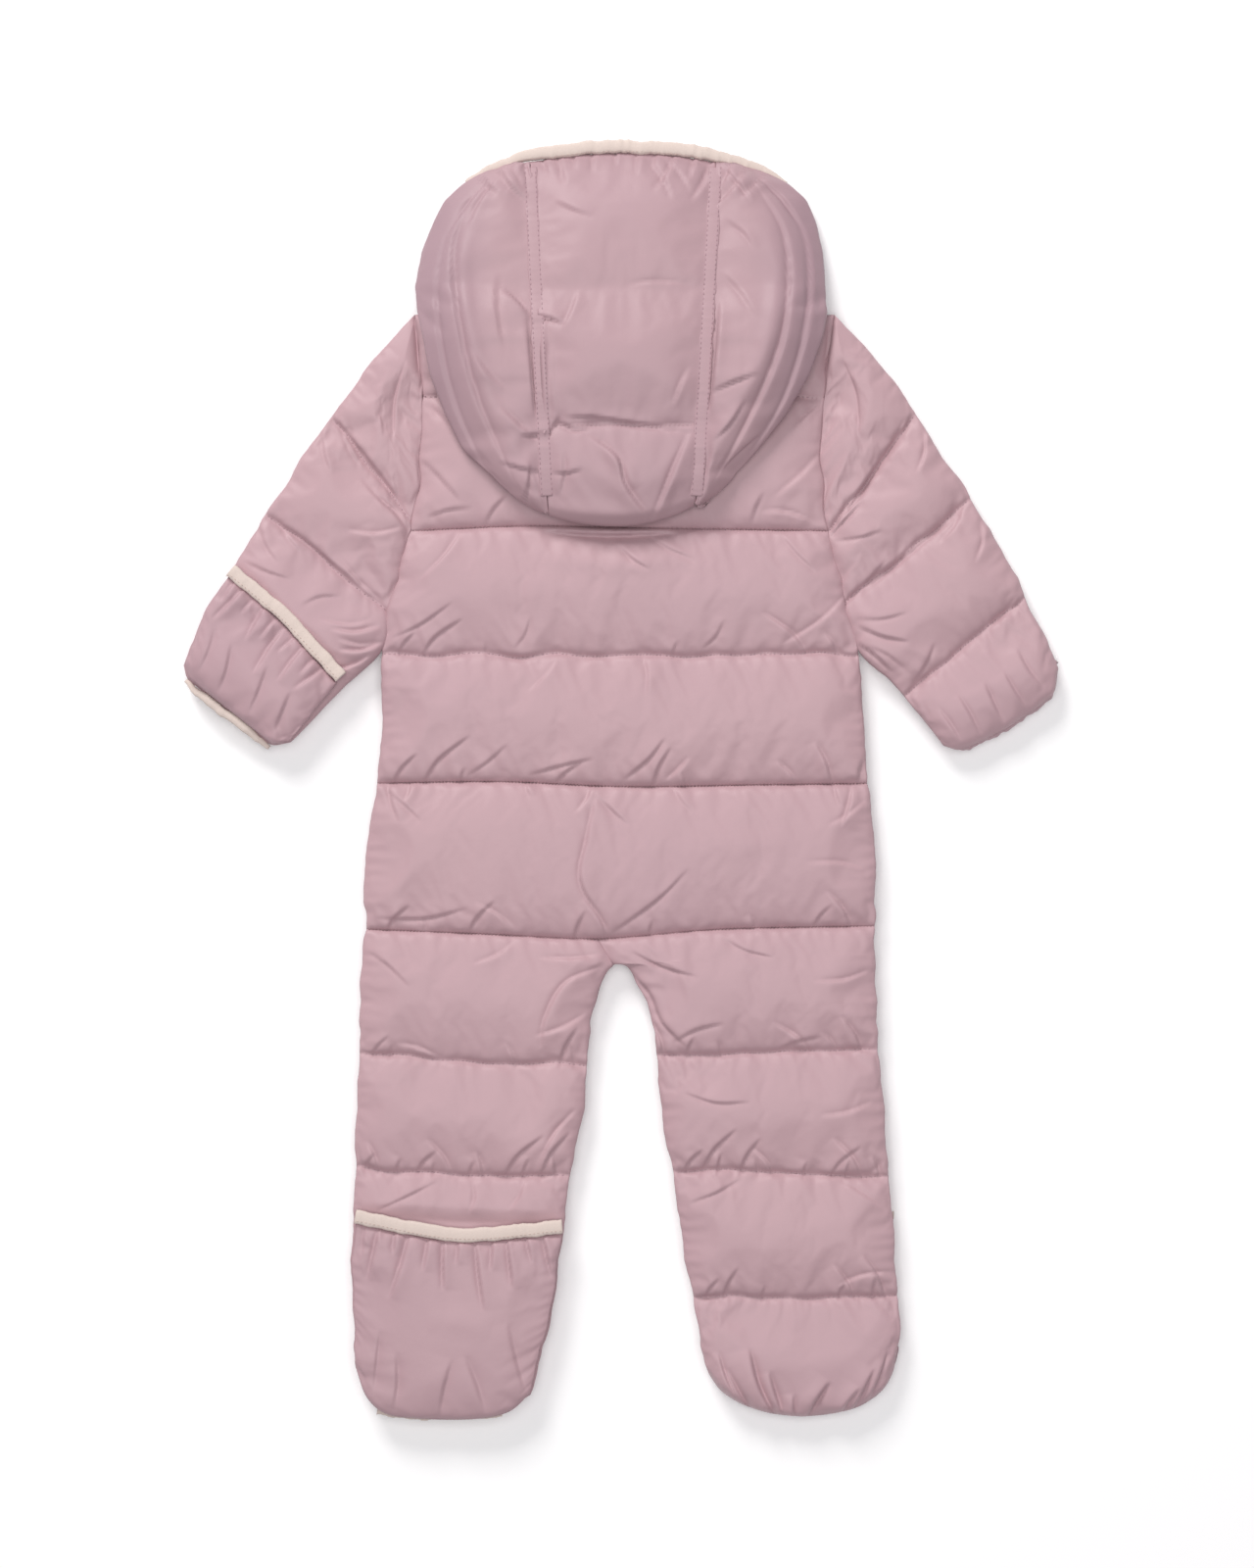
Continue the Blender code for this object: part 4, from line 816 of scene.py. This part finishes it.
def strip(name, material, node, way, level, height, width, taper=1.0, ruffle=0.35, rib=0.12,
          slot="elastic_binding"):
    """A rounded strip along a path of (x, y) or (x, y, z), which is ribbed across and wavers a little."""
    length = length_of(way)
    count = round(length / 0.9)
    line = run(way, count)
    aside = headings_of(line[:, :2])[:, ::-1] * (-1, 1)
    bottom = line[:, 2] if line.shape[1] > 2 else np.full(count, float(level))
    around = np.linspace(0, 2 * math.pi, 17)
    across = np.sign(np.cos(around)) * np.abs(np.cos(around)) ** 0.55
    upward = np.sign(np.sin(around)) * np.abs(np.sin(around)) ** 0.55
    rings = []
    for k, (place, side, base) in enumerate(zip(line, aside, bottom)):
        share = abs(2 * k / (count - 1) - 1)
        slim = 1 - (1 - taper) * max(0.0, share - 0.45) / 0.55
        sway = ruffle * wave(k * 0.9, 3.0, 7.0) + 0.5 * ruffle * wave(k * 0.9, 8.0, 2.6)
        ribbed = rib * (k % 2)
        reach = across * (width / 2 - ribbed) * slim + sway
        lift = base + height * slim * (0.5 + upward * (0.5 - ribbed / height)) + abs(sway) * 0.6
        rings.append(np.column_stack([place[0] + side[0] * reach, place[1] + side[1] * reach, lift]))
    points = np.array(rings)
    bm = bmesh.new()
    bmesh.ops.create_grid(bm, x_segments=16, y_segments=count - 1, size=0.5)
    for vert, spot in zip(bm.verts, points.reshape(-1, 3)):
        vert.co = spot * MM
    bmesh.ops.remove_doubles(bm, verts=bm.verts[:], dist=1e-6)
    for end in (0, -1):
        ring = [edge for edge in bm.edges if edge.is_boundary
                and (edge.verts[0].co.xy - Vector(line[end][:2]) * MM).length < (width + 3) * MM]
        bmesh.ops.contextual_create(bm, geom=ring)
    bmesh.ops.recalc_face_normals(bm, faces=bm.faces[:])
    for face in bm.faces:
        face.smooth = len(face.verts) == 4
    item = made(name, bm, material)
    belongs(item, slot, node)


BRIM = [(-96, 365.5), (-84, 372.8), (-64, 380), (-32, 385.2), (0, 386.8), (34, 385.2), (64, 380),
        (88, 372.6), (100, 365)]
strip("hood_brim_elastic", cream, "hood_binding_brim", BRIM, 3.4, 8.2, 8.2, 0.35, 0.5)
strip("left_mitten_elastic", cream, "mitten_left_binding", [(x + 0.2, y + 0.6) for x, y in MITTEN_MOUTH],
      COVER + 0.8, 4.6, 8.6)
strip("left_foot_elastic", cream, "foot_left_binding", [(x, y + 0.4) for x, y in FOOT_MOUTH],
      COVER + 0.8, 4.6, 8.8)
strip("left_cuff_elastic", cream, "cuff_left_binding", [(-267, 61), (-262, 55.5), (-240, 38.5), (-216, 20)],
      7.4, 8.4, 6.0, 0.5, 0.5)
strip("left_ankle_elastic", cream, "ankle_left_binding",
      [(-150, -384.5), (-128, -387.5), (-100, -387.5), (-74, -386)],
      7.4, 8.4, 5.0, ruffle=0.5)
strip("right_mitten_elastic", cream, "mitten_right_binding",
      [(240.9, 121.5), (221.5, 105.5), (203.7, 88), (187, 72.5), (174, 59)],
      1.0, 3.6, 5.0)
strip("right_foot_elastic", cream, "foot_right_binding",
      [(165.8, -266.5), (149.6, -265.6), (127.6, -264.8), (99.8, -264.8), (71.9, -265.8), (41.6, -267.8)],
      1.0, 3.6, 5.0)
for side, name in ((-1, "left"), (1, "right")):
    strip("face_" + name + "_elastic", cream, "hood_binding_" + name,
          [(side * x, y) for x, y in ((46.6, 300), (56.6, 322), (64.6, 340), (70.6, 354))],
          0.9, 4.8, 5.6)

# ---------------------------------------------------------------- front zip
# The closed zip shows underneath, between the two fronts: woven tapes with moulded teeth, and a metal
# slider at the neck, whose pull tab turns on its lugs.
tape_cloth = nylon("zip tape", (0.50, 0.33, 0.36), (0.46, 0.30, 0.33), 0.8)
metal, surface, place = finish_of("zip metal")
surface.inputs["Base Color"].default_value = (0.62, 0.60, 0.58, 1)
surface.inputs["Metallic"].default_value = 1.0
(place.noise(400.0) * 0.15 + 0.24).feed(surface, "Roughness")

for side, name in ((-1, "left"), (1, "right")):
    bm = bmesh.new()
    bmesh.ops.create_grid(bm, x_segments=8, y_segments=318, size=0.5)
    for vert in bm.verts:
        u, v = vert.co.x + 0.5, vert.co.y + 0.5
        ridge = 0.12 * math.sin(v * 318 * math.pi) * (0.2 < u < 0.8)
        vert.co = Vector((side * (2.9 + 7.6 * u), -82 + 318 * v, 8.1 + ridge)) * MM
    bmesh.ops.solidify(bm, geom=bm.verts[:] + bm.edges[:] + bm.faces[:], thickness=0.5 * MM)
    bmesh.ops.recalc_face_normals(bm, faces=bm.faces[:])
    tape = made("tape_" + name, bm, tape_cloth)
    belongs(tape, "zip_tape", "zip_tape_" + name)

bm = bmesh.new()
for side in (-1, 1):
    tooth = bmesh.ops.create_cube(bm, size=1)["verts"]
    bmesh.ops.scale(bm, vec=Vector((3.0, 1.0, 1.5)) * MM, verts=tooth)
    bmesh.ops.translate(bm, vec=Vector((side * 1.0, -81 + side * 0.5, 8.3)) * MM, verts=tooth)
bmesh.ops.bevel(bm, geom=bm.edges[:], offset=0.25 * MM, segments=2, affect="EDGES", profile=0.5, material=-1)
teeth = made("zip_teeth", bm, tape_cloth)
teeth.data.shade_smooth()
row = teeth.modifiers.new("row", "ARRAY")
row.use_relative_offset = False
row.use_constant_offset = True
row.constant_offset_displace = (0, 2 * MM, 0)
row.count = 154
belongs(teeth, "zip_tape", "zip_chain")
for name in ("zip_slider", "zip_pull"):
    part = frame["nodes"][name]
    part.data.materials.clear()
    part.data.materials.append(metal)
    edge = part.modifiers.new("edge", "BEVEL")
    edge.width = 0.2 * MM
    edge.segments = 2
    edge.limit_method = "ANGLE"

# ---------------------------------------------------------------- filling
# The wadding fills every pad at once. Then each pad settles to its own thickness, takes its folds, and is
# closed underneath.


def finished(item):
    """The sheet as it stands with its modifiers, as a plain mesh."""
    mesh = bpy.data.meshes.new_from_object(item.evaluated_get(bpy.context.evaluated_depsgraph_get()))
    item.modifiers.clear()
    item.data = mesh


def places_of(mesh):
    """The mesh's points in millimetres."""
    flat = np.empty(len(mesh.vertices) * 3)
    mesh.vertices.foreach_get("co", flat)
    return flat.reshape(-1, 3) / MM


def put(mesh, places):
    mesh.vertices.foreach_set("co", (places * MM).ravel())
    mesh.update()


def rounder(item):
    """One level of subdivision that keeps the corners of the sheet."""
    modifier = item.modifiers.new("rounder", "SUBSURF")
    modifier.levels = modifier.render_levels = 1
    modifier.boundary_smooth = "PRESERVE_CORNERS"
    finished(item)
    item.data.shade_smooth()


def close_flat(item, level, facing):
    """Sews a flat layer under the sheet, all round its edge."""
    bm = bmesh.new()
    bm.from_mesh(item.data)
    rim = [edge for edge in bm.edges if edge.is_boundary]
    grown = bmesh.ops.extrude_edge_only(bm, edges=rim)["geom"]
    for vert in (part for part in grown if isinstance(part, bmesh.types.BMVert)):
        vert.co.z = level * MM
    bmesh.ops.contextual_create(bm, geom=[edge for edge in bm.edges if edge.is_boundary])
    bmesh.ops.recalc_face_normals(bm, faces=bm.faces[:])
    bm.to_mesh(item.data)
    bm.free()


def grooves(places, stitching):
    """How much deeper the rows of stitching pull the cloth, unevenly along each."""
    sunk = np.zeros(len(places))
    for line in stitching:
        close = near(places, line, 8)
        gap = np.min(np.linalg.norm(places[close][:, None] - line[None], axis=2), axis=1)
        pull = np.array([2.1 + 1.2 * wave(x + y, 2.0, 17.0) for x, y in places[close]])
        sunk[close] += pull * np.exp(-gap / 1.4)
    return sunk


FILLING_STEPS = 12
ROUNDNESS = 0.64
SHELL_FILLING = 0.6
for step in range(1, FILLING_STEPS + 1):
    scene.frame_set(step)
for item, *_ in pads + shells:
    finished(item)
scene.frame_set(1)
for item, face, facing, crest, seams, more in pads:
    places = places_of(item.data)
    height = facing * (places[:, 2] - face)
    share = (height - SEWN_HEIGHT) / (np.percentile(height, 99) - SEWN_HEIGHT)
    height = SEWN_HEIGHT + (crest - SEWN_HEIGHT) * np.clip(share, 0, None) ** ROUNDNESS
    if "pressed" in more:
        (ax, ay), (bx, by), limit = more["pressed"]
        past = (places[:, 0] - ax) * (by - ay) - (places[:, 1] - ay) * (bx - ax)
        share = np.clip(past / math.hypot(bx - ax, by - ay) / 9 + 1, 0, 1)
        height = height * (1 - share) + limit * np.tanh(height / limit) * share
    places[:, 2] = face + facing * np.maximum(height, 1.0)
    put(item.data, places)
    rounder(item)
    places = places_of(item.data)
    height = facing * (places[:, 2] - face)
    clear = np.clip((height - SEWN_HEIGHT) / 2.0 + 0.5, 0, 1)
    height += clear * folds(places[:, :2], more.get("folds", ()))
    height -= grooves(places[:, :2], seams)
    places[:, 2] = face + facing * np.maximum(height, 0.4)
    put(item.data, places)
    close_flat(item, face, facing)

for item, points, thickness, more in shells:
    places = points + SHELL_FILLING * (places_of(item.data) - points)
    put(item.data, places)
    rounder(item)
    places = places_of(item.data)
    normals = np.empty(len(places) * 3)
    item.data.vertex_normals.foreach_get("vector", normals)
    normals = normals.reshape(-1, 3)
    up = np.clip(normals[:, 2:] * 1.6, 0, 1)
    relief = folds(places[:, :2], more.get("folds", ())) - grooves(places[:, :2], more.get("stitching", []))
    places += normals * up * relief[:, None]
    places[:, 2] = np.maximum(places[:, 2], 0.3)
    put(item.data, places)
    wall = item.modifiers.new("wall", "SOLIDIFY")
    wall.thickness = thickness * MM
    wall.offset = -1
    finished(item)

# ---------------------------------------------------------------- hood's seam bands
# A strip of the same nylon covers each of the hood's two seams and is stitched along both edges.
objects = bpy.data.objects
hood_pads = [objects["hood_middle_pad"], objects["hood_left_pad"], objects["hood_right_pad"]]


def top_at(x, y, targets):
    """Height of the topmost target at a place, in millimetres, or None."""
    hits = [target.ray_cast(Vector((x, y, 90)) * MM, (0, 0, -1)) for target in targets]
    heights = [hit[1].z / MM for hit in hits if hit[0]]
    return max(heights) if heights else None


for side, name in ((-1, "left"), (1, "right")):
    way = []
    for y in np.linspace(374, 172, 36):
        x = seam_x(y, side)
        heights = [top_at(x + beside, y, hood_pads) for beside in (-3.4, -1.6, 1.6, 3.4)]
        way.append((x, y, sum(heights) / 4 - 0.95))
    strip("hood_band_" + name + "_cloth", hood_cloth, "hood_band_" + name, way, 0, 1.3, 8.2,
          1.0, 0.3, 0.0, "hood_cloth")

# ---------------------------------------------------------------- stitching
# Mauve thread holds the quilting and both edges of the hood's bands; cream thread holds the elastic.
STITCH_THICKNESS = 0.26


def stitched(name, material, slot, runs, pitch, targets, long=1.9):
    """All the stitches along some runs of (x, y) as one piece, each lying on the topmost of the targets."""
    bm = bmesh.new()
    for points in runs:
        spots = []
        for x, y in run(points, max(3, round(length_of(points) / pitch))):
            top = top_at(x, y, targets)
            spots.append(None if top is None else Vector((x, y, top + 0.1)) * MM)
        for here, there in zip(spots, spots[1:]):
            if here is None or there is None or (there - here).length > 2 * pitch * MM:
                continue
            way = (there - here).normalized()
            turn = way.to_track_quat("X", "Z").to_matrix().to_4x4()
            size = Matrix.Diagonal((long / 2 * MM, STITCH_THICKNESS * MM, STITCH_THICKNESS * MM, 1))
            bmesh.ops.create_icosphere(bm, subdivisions=1, radius=1,
                                       matrix=Matrix.Translation((here + there) / 2) @ turn @ size)
    item = made(name, bm, material)
    item.data.shade_smooth()
    belongs(item, slot)


def thread(name, colour):
    material, surface, place = finish_of(name)
    surface.inputs["Base Color"].default_value = (*colour, 1)
    (place.noise(2000.0) * 0.2 + 0.5).feed(surface, "Roughness")
    return material


backs = [item for item, face, facing, *_ in pads if facing > 0]
quilting = [line for item, face, facing, crest, seams, more in pads if facing > 0 for line in seams[1:-1]]
quilting = [line[:: max(1, len(line) // 14)] for line in quilting]
mauve_thread = thread("mauve thread", (0.40, 0.25, 0.29))
stitched("quilting_thread", mauve_thread, "shell_cloth", quilting, 3.0, backs)
rows = [[(seam_x(y, side) + beside, y) for y in (375, 275, 172)]
        for side in (-1, 1) for beside in (-3.1, 3.1)]
bands = [objects["hood_band_left_cloth"], objects["hood_band_right_cloth"]]
stitched("hood_thread", mauve_thread, "hood_cloth", rows, 3.0, hood_pads + bands)
cream_thread = thread("cream thread", (0.60, 0.47, 0.42))
rows = [[(x, y - 2.4) for x, y in MITTEN_MOUTH], [(x, y - 1.9) for x, y in FOOT_MOUTH],
        [(x * 0.93, y - 3.0) for x, y in BRIM]]
elastics = [objects[name] for name in ("left_mitten_elastic", "left_foot_elastic", "hood_brim_elastic")]
stitched("elastic_thread", cream_thread, "elastic_binding", rows, 2.6, elastics, long=1.6)
